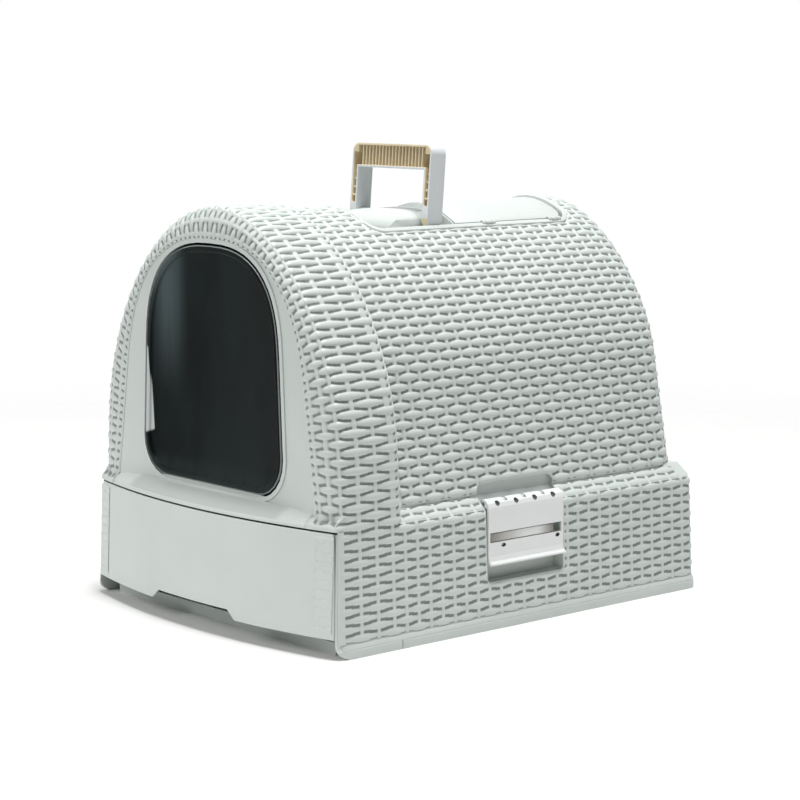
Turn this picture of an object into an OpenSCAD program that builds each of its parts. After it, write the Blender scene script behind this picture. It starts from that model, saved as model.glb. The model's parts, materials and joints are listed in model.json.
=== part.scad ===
// Drawer litter box: an arched hood on a base, with a flap door and a pull-out litter drawer.
// Frame: seen from the front, +X to the right, +Y to the rear, +Z up. The origin is on the floor,
// under the middle of the overall box. Right and left are as seen from the front.

/* [Casing] */
// Length from the drawer's belly to the rear rim
overall_l = 501; // [490:1:515]
// Width over the flared rim
overall_w = 385; // [380:1:395]
// Height of the front band's crown
band_top = 395; // [390:1:402]
// Wall thickness of the moulded casing
wall = 2.5; // [2:0.1:3]
// Height of the flared rim along the floor
rim_h = 10; // [7:0.5:13]
// How far the rim flares out from the skirt
rim_flare = 3.3; // [2.5:0.1:4]
// Lean of the skirt wall, run over rise
skirt_lean = 0.04; // [0.03:0.005:0.05]
// Height where the arch of the front band starts to curve
band_spring = 172; // [165:1:180]
// Squareness of the front band's arch, 2 is an ellipse
band_square = 1.94; // [1.86:0.02:2.1]
// Length of the front band from the front panel to the step
band_l = 70; // [60:1:75]
// Length over which the band steps down to the rear arch
step_l = 16; // [10:1:18]
// Drop from the band's crown to the rear arch's crown
step_drop = 5; // [4:0.5:7]
// Half width of the rear arch's leaning walls, carried down to the floor
rear_half = 195; // [193:0.5:196]
// Lean of the rear arch's walls, run over rise
rear_lean = 0.19; // [0.18:0.005:0.2]
// Height where the rear arch starts to curve
rear_spring = 240; // [235:1:245]
// Squareness of the rear arch
rear_square = 1.92; // [1.86:0.02:2]
// Radius of the rear arch's rear edge
rear_round = 36; // [28:1:42]
// Height of the ledge's outer edge
ledge_h = 113; // [111:0.5:114]
// Rise of the ledge from its outer edge to the rear arch
ledge_rise = 12; // [10:0.5:14]
// Height of the woven strands on the rear arch
weave_rise = 1.2; // [0.8:0.1:1.4]
// Spacing of the woven rows
row_pitch = 8.55; // [8.2:0.05:9]
// Spacing of the stakes that the rows pass over
stake_pitch = 13.75; // [13:0.25:15]
// Radius of the side walls' lower front corners
foot_round = 15; // [10:1:18]
// Plan radius of the skirt's rear corners
skirt_corner = 14; // [10:1:18]

/* [Front panel and doorway] */
// Distance of the flat front panel behind the drawer's belly
panel_back = 28; // [25:0.5:30]
// Width of the corner strip across the front's edge
strip_w = 26; // [24:0.5:28]
// Depth of the corner strip's rounding
strip_d = 12; // [10:0.5:14]
// Half width of the flat panel's outline, carried down to the floor
panel_half = 180; // [178:0.5:181]
// Lean of the flat panel's outline, run over rise
panel_lean = 0.147; // [0.145:0.001:0.15]
// Height where the panel's outline starts to curve
panel_spring = 218; // [215:1:221]
// Squareness of the panel's outline
panel_square = 2.6; // [2.5:0.05:2.7]
// Radius of the belly's curve in plan
belly_r = 740; // [700:10:780]
// Drop of the chin from the panel to the seam
chin_h = 16; // [12:0.5:16.5]
// Height of the doorway's bottom edge
door_low = 132; // [131.5:0.5:134]
// Height of the doorway's top edge
door_high = 362; // [356:0.5:363]
// Half width of the doorway, carried down to the floor
door_half = 118; // [114:0.5:119]
// Lean of the doorway's sides, run over rise
door_lean = 0.05; // [0.04:0.005:0.06]
// Height where the doorway's arch starts to curve
door_spring = 262; // [258:1:265]
// Squareness of the doorway's arch
door_square = 2.63; // [2.5:0.01:2.7]
// Radius of the doorway's bottom corners
door_corner = 38; // [30:1:44]
// Width of the lip round the doorway
door_lip_w = 4; // [3:0.5:5]
// Height of the lip round the doorway
door_lip_h = 1.2; // [0.8:0.1:1.5]
// Gap between the flap and the doorway
door_gap = 2.2; // [2:0.1:2.5]

/* [Door flap] */
// Thickness of the smoked sheet
flap_t = 2.5; // [2:0.1:3]
// Width of the raised rim
flap_rim_w = 6; // [5:0.5:8]
// How far the rim stands proud of the sheet
flap_rim_h = 2.5; // [1.5:0.1:3]
// Height of the flap's axis
flap_axis_h = 284; // [280:1:286]
// Radius of the flap's pins
flap_pin_r = 2.5; // [2.2:0.1:2.8]
// Radius of the bosses round the flap's pins
flap_boss_r = 4.4; // [4:0.1:4.6]
// Length of each boss
flap_boss_l = 8; // [7:0.5:10]

/* [Drawer] */
// Height of the drawer front's bottom edge
front_low = 18; // [16:0.5:20]
// Height of the seam between drawer and hood
seam_h = 114.5; // [114:0.5:115]
// Width of the seam
seam_gap = 1.6; // [1.2:0.1:2]
// Rake of the drawer front in degrees
front_rake = 2.2; // [1.5:0.1:2.6]
// Wall of the drawer front
front_t = 3; // [2.5:0.1:3.5]
// Distance of the stays behind the drawer front from the middle
stay_half = 100; // [70:1:110]
// Gap between the drawer front and the hood's side walls
front_gap = 1; // [0.8:0.1:1.4]
// Half width of the pull notch at its top
notch_half = 55; // [45:1:65]
// Height of the pull notch
notch_h = 9; // [7:0.5:12]
// Height of the base's floor
floor_h = 9; // [7:0.5:10]
// Height of the base's walls
base_h = 108; // [104:0.5:109]
// Gap under the tray
tray_lift = 1.5; // [1:0.1:3]
// Height of the top of the litter tray's flange
tray_top = 100; // [98:0.5:101]
// Width of the litter tray's flange
tray_flange = 5.5; // [4.5:0.1:6]
// Corner radius of the litter tray
tray_corner = 30; // [20:1:40]
// Length of the litter tray
tray_l = 430; // [400:1:434]
// Width of the rails that the tray's flange slides on
rail_w = 5; // [4:0.1:5.2]
// Gap between the tray and what it slides in
slide_gap = 0.8; // [0.6:0.1:1]

/* [Side clips] */
// Middle of the clips behind the flat front panel
clip_back = 230; // [220:1:240]
// Length of a clip
clip_l = 98; // [92:1:104]
// Height of a clip's axis
clip_axis_h = 118.5; // [118:0.1:119.5]
// Distance of a clip's axis in from the skirt's foot
clip_axis_in = 9.7; // [9.4:0.1:10]
// Radius of a clip's barrel
clip_barrel_r = 4.5; // [4.2:0.1:4.6]
// Radius of a clip's pin
clip_pin_r = 2; // [1.8:0.1:2.2]
// Thickness of a clip
clip_t = 2.6; // [2.3:0.1:2.8]
// Height of a clip's lower lip
clip_low = 61; // [58:0.5:64]
// Height of the window's lower edge
window_low = 82; // [81:0.5:82.5]
// Height of the window
window_h = 9.5; // [9:0.1:10.5]
// Width of the frame at each end of the window
window_end = 2.2; // [2:0.1:4]
// Height of the pocket's lower edge
pocket_low = 44.5; // [40:0.5:50]
// Height of the scoop's upper edge above the ledge
pocket_high = 136; // [133:0.5:140]
// Depth from a clip's axis to the pocket's floor
pocket_in = 6; // [5.5:0.1:6.5]
// Width of a hinge rib
clip_rib_w = 3.4; // [2.8:0.1:4]
// Spacing of the hinge ribs
clip_rib_pitch = 24.5; // [22:0.5:26]
// How far a catch's tongue reaches into the clip's window
catch_reach = 1.5; // [1:0.1:1.8]
// Thickness of a catch's foot inside the base
catch_foot = 2; // [1.5:0.1:2.5]
// How far a catch's foot reaches past its tongue
catch_foot_w = 3; // [2:0.5:4]
// Height of a catch's tongue
catch_t = 7.4; // [6.5:0.1:7.6]
// Length of the gap left open beside a catch's tongue
catch_short = 11; // [8:0.5:14]

/* [Crown: well, handle and filter] */
// Half width of the opening in the crown
well_half = 62; // [60.5:0.5:63]
// Front edge of the opening behind the flat front panel
well_back = 145; // [143:0.5:148]
// Length of the opening
well_l = 266; // [262:1:268]
// Corner radius of the opening
well_corner = 16; // [12:1:18]
// Depth of the well's floor below the crown's skin at the opening's side edge
well_sink = 6.2; // [5.8:0.1:6.8]
// Wall of the well
well_wall = 1.6; // [1.4:0.1:1.8]
// How far the well's lip stands above the crown
well_lip = 2.6; // [2.2:0.1:3]
// Width of the well's lip on the crown
well_lip_w = 2.5; // [2:0.1:3]
// Handle's axis behind the opening's front edge
handle_back = 82.5; // [81:0.5:84]
// Height of the handle's axis above the well's floor
handle_axis_up = 13.5; // [13:0.5:14.5]
// Outer half width of the handle
handle_half = 59.2; // [57:0.1:59.4]
// Height of the grip's top above the handle's axis
handle_rise = 71; // [68:0.5:73]
// Height of the grip from its lower to its upper edge
grip_h = 24; // [22:0.5:26]
// Thickness of the handle's legs across the width
leg_w = 9.6; // [9:0.1:10]
// Depth of the handle from front to back
handle_d = 19; // [17:0.5:20]
// Outer corner radius of the handle
handle_corner = 9; // [6:0.5:10]
// Wall of the handle's hollow moulding
handle_wall = 2.2; // [1.8:0.1:2.6]
// Number of ribs in the grip's hollow
grip_ribs = 19; // [12:1:24]
// Backward lean of the raised handle in degrees
handle_lean = 4.5; // [3:0.5:6]
// Radius of the handle's pins
handle_pin_r = 3.5; // [3:0.1:4]
// Half width of the hump between the handle's legs
hump_half = 46; // [42:0.5:47]
// Length of the hump
hump_l = 66; // [56:1:68]
// Front edge of the filter lid behind the handle's axis
lid_back = 29.5; // [29:0.5:31]
// Length of the filter lid
lid_l = 150; // [144:1:152]
// Thickness of the filter lid
lid_t = 2.4; // [2:0.1:3]
// Distance of the front hinge behind the lid's front edge
hinge_in = 40; // [30:1:50]
// Distance between the lid's two hinges
hinge_spacing = 91; // [70:1:95]
// Radius of the lid's hinge knuckles
knuckle_r = 3; // [2.8:0.1:3.1]
// Radius of the lid's hinge pins
lid_pin_r = 1.4; // [1.2:0.1:1.5]
// Length of a hinge with its ears
knuckle_l = 17; // [15:1:19]
// Thickness of the filter pad
pad_t = 5; // [4:0.5:6]
// Thickness of the filter grille
grille_t = 2; // [1.6:0.1:2.4]
// Width of the grille's frame and of its middle bar
grille_frame = 6; // [5:0.5:8]
// Number of slots in each half of the grille
grille_slots = 11; // [7:1:13]

/* [Fits] */
// Radial clearance of a pin in a turning bore
run_gap = 0.06; // [0.04:0.01:0.09]
// Clearance between pieces that move past each other
move_gap = 0.6; // [0.5:0.1:0.8]
// Clearance of a piece set into an opening
set_gap = 0.3; // [0.2:0.05:0.4]

/* [Hidden] */

// Colours of the mouldings
MINT = [0.74, 0.79, 0.77];
WHITE = [0.88, 0.89, 0.89];
CREAM = [0.86, 0.82, 0.72];
SMOKE = [0.12, 0.14, 0.14, 0.85];
GREY = [0.30, 0.31, 0.31];
CARBON = [0.10, 0.10, 0.10];
ARCH_STEPS = 14;
TABLE_STEPS = 60;
FOOT_POINTS = 6;
BEND_STEPS = 4;
edge_round = 1.5;
rim_slope = 2.5;
rim_neck = 0.35;
neck_rise = 5;
ledge_round = 2;
ledge_bevel = 1.2;
chin_bow = 32;
grille_rest = 8;
arch_sink = 3;
hump_fall = 30;
ear_l = 4;
boss_l = 12;
$fn = 48;

// Along the length
rear_y = overall_l / 2;
front_y = -rear_y;
panel_y = front_y + panel_back;
panel_in = panel_y + wall + 0.5;
band_front = panel_y + strip_d;
step_front = panel_y + band_l;
step_rear = step_front + step_l;
skirt_front = step_front + 1.5;
skirt_rear = rear_y - rim_flare - 2.7;
arch_rear = skirt_rear - 3;
base_front = panel_in + 6;
base_rear = skirt_rear - wall - 2;
tray_front = base_front + 2;
tray_rear = tray_front + tray_l;
clip_y = panel_y + clip_back;
well_front = panel_y + well_back;
well_rear = well_front + well_l;
handle_axis_y = well_front + handle_back;
lid_front = handle_axis_y + lid_back;
lid_rear = lid_front + lid_l;
flap_axis_y = panel_in + flap_pin_r + 0.5;

// Across the width and up
skirt_half = overall_w / 2 - rim_flare + skirt_lean * rim_h;
rear_top = band_top - step_drop;
panel_top = band_top - strip_w - 0.4;
arch_low = ledge_h + 2;
front_slope = tan(front_rake);
belly_y = front_y + (seam_h - front_low) * front_slope + belly_r;
clip_axis_x = skirt_half - clip_axis_in;
pocket_x = clip_axis_x - pocket_in;
scoop_x = pocket_x - 6;
base_half = pocket_x - wall;
base_in = base_half - wall;
tray_half = base_in - slide_gap - tray_flange;
tray_low = floor_h + wall + tray_lift;
rail_top = tray_top - wall - slide_gap;
clip_out = clip_axis_x + clip_barrel_r + 1 + clip_t;
window_half = clip_l / 2 - window_end;
catch_z = window_low + 1;
well_in = well_half - well_wall;
well_floor_h = rear_z(well_half) - well_sink;
floor_top = well_floor_h + wall;
handle_axis_h = floor_top + handle_axis_up;
lid_half = well_in - 2;
knuckle_x = well_in - 0.2;
knuckle_z = rear_z(well_half) + knuckle_r;
lid_edge = knuckle_x - knuckle_r - 1;
boss_x = handle_half - leg_w - 0.8;
hinge_places = [lid_front + hinge_in, lid_front + hinge_in + hinge_spacing];

inner_foot = rear_half - rear_lean * ledge_h;

function mix(a, b, q) = a + (b - a) * q;
function skirt_x(z) = skirt_half - skirt_lean * z;
// Half width of a leaning wall that closes into an arch at height top
function arch_x(z, half, lean, spring, top, square) =
    (half - lean * z) * pow(1 - pow(max(0, (z - spring) / (top - spring)), square), 1 / square);
// Point of the right half of such an arch: u is 0 above the ledge, 1 at the spring and 2 at the crown
function arch_point(u, half, lean, spring, top, square) = let(
    a = 90 * max(0, u - 1),
    z = u < 1 ? mix(arch_low, spring, u) : spring + (top - spring) * pow(sin(a), 2 / square)
) [(half - lean * z) * (u >= 2 ? 0 : pow(cos(a), 2 / square)), z];
function band_point(u, off) =
    arch_point(u, skirt_half - off, skirt_lean, band_spring, band_top - off, band_square);
function rear_point(u, off) =
    arch_point(u, rear_half - off, rear_lean, rear_spring, rear_top - off, rear_square);
function panel_point(u, off) =
    arch_point(u, panel_half - off, panel_lean, panel_spring, panel_top - off, panel_square);
function mirrored(side) = concat(side, [for (i = [len(side) - 2 : -1 : 0]) [-side[i][0], side[i][1]]]);
// Places along an arch: plain ones for the inside, and the middles of the woven rows for the outside
plain_ways = concat([0], [for (i = [0 : ARCH_STEPS]) 1 + i / ARCH_STEPS]);
function rear_arch(off) = [for (u = plain_ways) rear_point(u, off)];
table_ways = [for (i = [0 : TABLE_STEPS]) 2 - 2 * pow(i / TABLE_STEPS, 1.5)];
function table_run(i) = norm(rear_point(table_ways[i], 0) - rear_point(table_ways[i - 1], 0));
// Length along the rear arch from its crown, and its place
run_table = [
    for (i = 0, run = 0; i <= TABLE_STEPS; i = i + 1, run = i <= TABLE_STEPS ? run + table_run(i) : run)
        [run, table_ways[i]]
];
ledge_way = (ledge_h + ledge_rise + 1.5 - arch_low) / (rear_spring - arch_low);
arch_run = lookup(ledge_way, [for (e = run_table) [e[1], e[0]]]);
row_count = round(arch_run / row_pitch - 0.5);
row_gap = arch_run / (row_count + 0.5);
row_ways = concat([0], [for (k = [row_count : -1 : 0]) lookup(k * row_gap, run_table)]);
stake_run = arch_rear - rear_round + rear_round * PI / 2 - step_rear;
stake_gap = stake_run / round(stake_run / stake_pitch);
stake_count = floor((arch_rear - rear_round - step_rear) / stake_gap);
function rear_z_step(x, z) = let(
    across = pow(x / (rear_half - rear_lean * z), rear_square)
) rear_spring + (rear_top - rear_spring) * pow(1 - across, 1 / rear_square);
// Height of the rear arch's skin at a distance x from the middle
function rear_z(x) = rear_z_step(x, rear_z_step(x, rear_z_step(x, rear_top)));
function rear_x(z) = arch_x(z, rear_half, rear_lean, rear_spring, rear_top, rear_square);
function door_x(z) = arch_x(z, door_half, door_lean, door_spring, door_high, door_square);

// Lower wall points of one side: foot, rim and skirt, out by q from the rear wall to the band's wall
function foot_side(q, off, flare, low) = [
    [mix(inner_foot, skirt_x(rim_h) + flare, q) - off, low],
    [mix(inner_foot, skirt_x(rim_h) + flare, q) - off, rim_h - rim_slope],
    [mix(inner_foot, skirt_x(rim_h) + flare * rim_neck, q) - off, rim_h],
    [mix(inner_foot, skirt_x(rim_h + neck_rise), q) - off, rim_h + neck_rise],
    [mix(inner_foot, skirt_x(ledge_h), q) - off, ledge_h]
];
// One slice of the casing: [y at the top, q foot, upper points]
function casing_slice(y, q, off, flare, arch, pull) = [
    for (p = mirrored(concat(foot_side(q, off + pull, flare, off > 0 ? -1 : 3 * (1 - q)), arch)))
        [p[0], y - max(0, ledge_h - p[1]) * front_slope * (y < band_front ? 1 : 0), p[1]]
];
// Rear arch at a stake, with every second row raised over it
function woven_arch(stake) = [
    for (i = [0 : row_count + 1]) rear_point(row_ways[i], i > 0 && (i + stake) % 2 == 0 ? -weave_rise : 0)
];
// Slices of the whole casing from front to rear, off is the distance in from the outside
function casing_slices(off) = let(
    flare = off > 0 ? 0 : rim_flare,
    y0 = off > 0 ? panel_in : panel_y,
    round_y = strip_d - (off > 0 ? wall : 0),
    ways = off > 0 ? plain_ways : row_ways
) concat(
    [for (i = [0 : BEND_STEPS]) let(b = 90 * i / BEND_STEPS)
        casing_slice(y0 + round_y * (1 - cos(b)), 1, off, flare * sin(b),
            [for (u = ways) mix(panel_point(u, off), band_point(u, off), sin(b))],
            (off > 0 ? 0 : edge_round) * (1 - sin(b)))],
    [for (i = [0 : BEND_STEPS]) let(t = i / BEND_STEPS, q = (1 + cos(180 * t)) / 2)
        casing_slice(mix(step_front, step_rear, t) - off * 0.5, q, off, flare,
            [for (u = ways) mix(rear_point(u, off), band_point(u, off), q)], 0)],
    [for (i = [1 : off > 0 ? 0 : stake_count])
        casing_slice(step_rear + i * stake_gap, 0, 0, 0, woven_arch(i), 0)],
    [for (i = [0 : BEND_STEPS]) let(b = 90 * i / BEND_STEPS, o = rear_round * (1 - cos(b)))
        casing_slice(arch_rear - rear_round + (rear_round - off) * sin(b), 0, off, 0,
            [for (u = ways) rear_point(u, off + o)], o)]
);

// A closed skin through slices, each a mirrored loop that runs anticlockwise seen from before the first
// Every second face is split the other way, so that its fold runs between the woven rows' low points
module loft(slices) {
    n = len(slices);
    m = len(slices[0]);
    fold = FOOT_POINTS - 1;
    points = [for (s = slices, p = s) p];
    sides = [
        for (i = [0 : n - 2], j = [0 : m - 1])
            let(a = i * m + j, b = i * m + (j + 1) % m, c = (i + 1) * m + (j + 1) % m, d = (i + 1) * m + j)
                each (i + j + fold) % 2 == 0 ? [[a, b, d], [b, c, d]] : [[a, b, c], [a, c, d]]
    ];
    h = (m - 1) / 2;
    caps = [
        for (j = [0 : h - 1], last = [false, true])
            let(k = last ? (n - 1) * m : 0, a = k + j, b = k + j + 1, c = k + m - 2 - j, d = k + m - 1 - j)
                each last ? (j == h - 1 ? [[a, b, d]] : [[a, b, c], [a, c, d]])
                          : (j == h - 1 ? [[d, b, a]] : [[d, c, b], [d, b, a]])
    ];
    polyhedron(points, concat(sides, caps), convexity = 6);
}

// Solid that extrudes a drawing of X and Z from y0 to y1
module along_y(y0, y1) {
    translate([0, y1, 0]) rotate([90, 0, 0]) linear_extrude(y1 - y0) children();
}
// Round bar along Y
module bar_y(x, z, r, y0, y1) {
    translate([x, y1, z]) rotate([90, 0, 0]) cylinder(r = r, h = y1 - y0);
}
// Round bar along X
module bar_x(y, z, r, x0, x1) {
    translate([x0, y, z]) rotate([0, 90, 0]) cylinder(r = r, h = x1 - x0);
}
// Box between two corners
module block(a, b) {
    translate(a) cube(b - a);
}
// Drawing of a rectangle in plan with rounded corners, about X = 0
module plan(half, y0, y1, r) {
    for (s = [-1, 1], y = [y0 + r, y1 - r]) translate([s * (half - r), y]) circle(r);
    translate([r - half, y0]) square([2 * (half - r), y1 - y0]);
    translate([-half, y0 + r]) square([2 * half, y1 - y0 - 2 * r]);
}
// The same with square front corners
module plan_open(half, y0, y1, r) {
    plan(half, y0, y1, r);
    translate([-half, y0]) square([2 * half, (y1 - y0) / 2]);
}
// Plan of the opening in the crown, grown by a distance
module well_plan(grow) {
    plan(well_half + grow, well_front - grow, well_rear + grow, well_corner + grow);
}
// Upright solid from a plan drawing
module slab(z0, z1) {
    translate([0, 0, z0]) linear_extrude(z1 - z0) children();
}
// Mirrors its children to the left-hand side, or leaves them on the right
module on_side(s) {
    if (s > 0) children();
    else mirror([1, 0, 0]) children();
}
// Prism with the rear arch's outline, grown by a distance
module arch_prism(grow, y0, y1) {
    along_y(y0, y1) polygon(mirrored(rear_arch(-grow)));
}

// Skirt, rim and ledge in section from the floor up, with the rim reaching out to edge
function skirt_section(edge, top_in, off) = let(
    low = off > 0 ? -2 : 0,
    rim_x = edge - off - (off > 0 ? rim_flare : 0),
    neck_x = edge - off - rim_flare * (off > 0 ? 1 : 1 - rim_neck),
    wall_x = edge - off - rim_flare + skirt_lean * rim_h
) [
    [rim_x, low],
    [rim_x, rim_h - rim_slope],
    [neck_x, rim_h],
    [wall_x - skirt_lean * (rim_h + neck_rise), rim_h + neck_rise],
    [wall_x - skirt_lean * (ledge_h - ledge_round), ledge_h - ledge_round - off],
    [wall_x - skirt_lean * ledge_h - ledge_bevel, ledge_h + ledge_bevel / 2 - off],
    [top_in - off, ledge_h + ledge_rise + ledge_round - off]
];
// Section of a rounded corner of the skirt about its upright axis
function corner_section(corner, off) = let(section = skirt_section(corner, corner, off)) concat(
    [[0, -3], [section[0][0], -3]],
    [for (i = [1 : 4]) section[i]],
    [[section[4][0] - skirt_lean * corner, ledge_h + corner], [0, ledge_h + corner]]
);
function other_side(side) = [for (i = [len(side) - 1 : -1 : 0]) [-side[i][0], side[i][1]]];
// Skirt and ledge behind the band, off is the distance in from the outside
module skirt(off) {
    half = overall_w / 2;
    in = off > 0 ? 0.3 : 0.05;
    corner = skirt_corner + rim_flare;
    side = skirt_section(half - in, rear_x(ledge_h + ledge_rise) - arch_sink, off);
    rear = skirt_section(rear_y, arch_rear - arch_sink, off);
    intersection() {
        along_y(skirt_front, rear_y) polygon(concat(side, other_side(side)));
        translate([-half, 0, 0]) rotate([90, 0, 90]) linear_extrude(2 * half)
            polygon(concat(rear, [[skirt_front - 1, rear[6][1]], [skirt_front - 1, rear[0][1]]]));
        union() {
            slab(-3, ledge_h + corner) difference() {
                plan_open(half, skirt_front - 10, rear_y, 1);
                for (s = [-1, 1]) translate([s * half, rear_y]) square(2 * corner, center = true);
            }
            for (s = [-1, 1]) translate([s * (half - corner), rear_y - corner, 0]) rotate_extrude()
                polygon(corner_section(corner, off));
        }
    }
}

// Belly moulding over the seam, revolved about the belly's centre
module chin(off) {
    top = seam_h + chin_h - off;
    low = seam_h + seam_gap / 2 - off * 2;
    side = skirt_x(top) - 0.6 - off;
    intersection() {
        block([-side, front_y - 5, low], [side, step_front - 10, top + 1]);
        translate([0, belly_y, 0]) rotate_extrude($fn = 360) polygon(concat(
            [[belly_r - 2 * chin_bow, low], [belly_r - off, low]],
            [for (i = [1 : 6]) let(b = 15 * i)
                [belly_r - off - chin_bow * (1 - cos(b)), low + (top - low) * sin(b)]],
            [[belly_r - 2 * chin_bow, top]]
        ));
    }
}

// Outline of the doorway, drawn in from its edge by a gap
function door_side(gap) = let(
    low = door_low + gap,
    r = door_corner - gap,
    x = door_half - gap - door_lean * (low + r) - r
) concat(
    [for (i = [0 : 6]) let(b = 15 * i) [x + r * sin(b), low + r - r * cos(b)]],
    [for (i = [0 : ARCH_STEPS]) let(
        a = 90 * i / ARCH_STEPS,
        z = door_spring + (door_high - gap - door_spring) * pow(sin(a), 2 / door_square)
    ) [(door_half - gap - door_lean * z) * (i == ARCH_STEPS ? 0 : pow(cos(a), 2 / door_square)), z]]
);
module door_shape(gap, y0, y1) {
    along_y(y0, y1) polygon(mirrored(door_side(gap)));
}

// Hollow for one clip: the pocket in the skirt and the scoop above the ledge, drawn in X and Z
module pocket_shape(grow) {
    outside = overall_w / 2 + rim_flare;
    polygon([
        [pocket_x - grow, pocket_low - grow],
        [outside, pocket_low - grow],
        [outside, pocket_high + grow],
        [scoop_x - grow, pocket_high + grow],
        [scoop_x - grow, ledge_h + ledge_rise],
        [pocket_x - grow, ledge_h]
    ]);
}
module pocket(grow) {
    along_y(clip_y - clip_l / 2 - 1 - grow, clip_y + clip_l / 2 + 1 + grow) pocket_shape(grow);
}
// Rib that carries the clip's pin
module clip_rib(y) {
    difference() {
        union() {
            bar_y(clip_axis_x, clip_axis_h, clip_pin_r + 2, y - clip_rib_w / 2, y + clip_rib_w / 2);
            along_y(y - clip_rib_w / 2, y + clip_rib_w / 2) polygon([
                [pocket_x - 1, clip_axis_h - 9.5],
                [clip_axis_x + 1, clip_axis_h - 3.5],
                [clip_axis_x, clip_axis_h + 3],
                [pocket_x - 1, clip_axis_h - 0.5]
            ]);
        }
        bar_y(clip_axis_x, clip_axis_h, clip_pin_r, y - clip_rib_w, y + clip_rib_w);
    }
}
// Slot that the catch's tongue passes through, in the hood's pocket and the base's wall
module catch_slot(x0, x1) {
    block(
        [x0, clip_y - clip_l / 2 + 1, catch_z - set_gap],
        [x1, clip_y + clip_l / 2 - 1, catch_z + catch_t + set_gap]
    );
}
// Ear behind the front panel that holds a pin of the flap
module flap_ear() {
    x0 = door_x(flap_axis_h) + 1;
    ear_r = flap_pin_r + 2.2;
    difference() {
        union() {
            bar_x(flap_axis_y, flap_axis_h, ear_r, x0, x0 + flap_boss_l);
            block(
                [x0, panel_in - 0.3, flap_axis_h - ear_r],
                [x0 + flap_boss_l, flap_axis_y, flap_axis_h + ear_r]
            );
        }
        bar_x(flap_axis_y, flap_axis_h, flap_pin_r, x0 - 1, x0 + flap_boss_l + 1);
    }
}
// Opening in the front for the drawer
module drawer_way() {
    along_y(front_y - 10, band_front + 1) polygon([
        [-skirt_x(0) + wall + 0.2, -1], [skirt_x(0) - wall - 0.2, -1],
        [skirt_x(seam_h) - wall - 0.2, seam_h + seam_gap / 2],
        [-skirt_x(seam_h) + wall + 0.2, seam_h + seam_gap / 2]
    ]);
}

// Rounds the side walls' lower front corners
module foot_cut() {
    y0 = panel_y - ledge_h * front_slope;
    translate([-overall_w, 0, 0]) rotate([90, 0, 90]) linear_extrude(2 * overall_w) difference() {
        translate([y0 - 1, -1]) square(foot_round + 1);
        translate([y0 + foot_round, foot_round]) circle(foot_round);
    }
}

module hood() {
    color(MINT) {
        difference() {
            union() {
                loft(casing_slices(0));
                skirt(0);
                chin(0);
                door_shape(-door_lip_w, panel_y - door_lip_h, panel_y + 1);
            }
            difference() {
                union() {
                    loft(casing_slices(wall));
                    skirt(wall);
                    chin(wall);
                }
                for (s = [-1, 1]) on_side(s) pocket(wall);
            }
            for (s = [-1, 1]) on_side(s) {
                pocket(0);
                catch_slot(pocket_x - wall - 1, pocket_x + 1);
            }
            drawer_way();
            foot_cut();
            door_shape(0, panel_y - 10, panel_in + 4);
            slab(well_floor_h - 30, band_top + 10) well_plan(0);
            difference() {
                slab(well_floor_h, band_top + 10) well_plan(well_lip_w);
                arch_prism(0, well_front - 5, well_rear + 5);
            }
            for (y = hinge_places) lid_way(y);
        }
        for (s = [-1, 1]) on_side(s) {
            for (i = [-1 : 1]) clip_rib(clip_y + i * clip_rib_pitch);
            flap_ear();
        }
    }
}

module door_flap() {
    flap_x = door_x(flap_axis_h) - door_gap;
    face = panel_y + 1;
    color(SMOKE) difference() {
        union() {
            door_shape(door_gap, face, face + flap_t);
            difference() {
                door_shape(door_gap, face - flap_rim_h, face + 1);
                door_shape(door_gap + flap_rim_w, face - flap_rim_h - 1, face + 2);
            }
            for (s = [-1, 1]) on_side(s) {
                bar_x(flap_axis_y, flap_axis_h, flap_boss_r, flap_x - 1 - flap_boss_l, flap_x - 1);
                block(
                    [flap_x - 1 - flap_boss_l, face + 1, flap_axis_h - flap_boss_r * 0.7],
                    [flap_x - 1, flap_axis_y, flap_axis_h + flap_boss_r * 0.7]
                );
            }
        }
        for (s = [-1, 1]) on_side(s)
            bar_x(flap_axis_y, flap_axis_h, flap_pin_r + run_gap, flap_x - flap_boss_l - 2, flap_x);
    }
}
module door_pivot(s) {
    x = door_x(flap_axis_h);
    color(GREY) on_side(s)
        bar_x(flap_axis_y, flap_axis_h, flap_pin_r, x - door_gap - flap_boss_l, x + 1 + flap_boss_l);
}
module door_pivot_left() { door_pivot(-1); }
module door_pivot_right() { door_pivot(1); }

module base_tray() {
    color(MINT) difference() {
        union() {
            difference() {
                slab(0, base_h) plan_open(base_half, base_front, base_rear, skirt_corner - wall);
                slab(floor_h + wall, base_h + 1)
                    plan_open(base_in, base_front - 1, base_rear - wall, skirt_corner - 2 * wall);
                slab(-1, floor_h)
                    plan_open(base_in, base_front + wall, base_rear - wall, skirt_corner - 2 * wall);
            }
            for (s = [-1, 1]) on_side(s) block(
                [base_in - rail_w, base_front + 10, rail_top - wall],
                [base_in + 1, base_rear - 20, rail_top]
            );
        }
        for (s = [-1, 1]) on_side(s) catch_slot(base_in - 1, base_half + 1);
    }
}

module catch_tongue(s) {
    y0 = clip_y - clip_l / 2 + 4;
    y1 = clip_y + clip_l / 2 - 1.5 - catch_short;
    root = base_in - catch_foot;
    tip = clip_out - clip_t + catch_reach;
    color(WHITE) on_side(s) {
        block([root, y0, catch_z], [tip, y1, catch_z + catch_t]);
        block(
            [root, y0 - catch_foot_w, catch_z - catch_foot_w],
            [base_in, y1 + catch_foot_w, catch_z + catch_t + catch_foot]
        );
    }
}
module catch_left() { catch_tongue(-1); }
module catch_right() { catch_tongue(1); }

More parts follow.
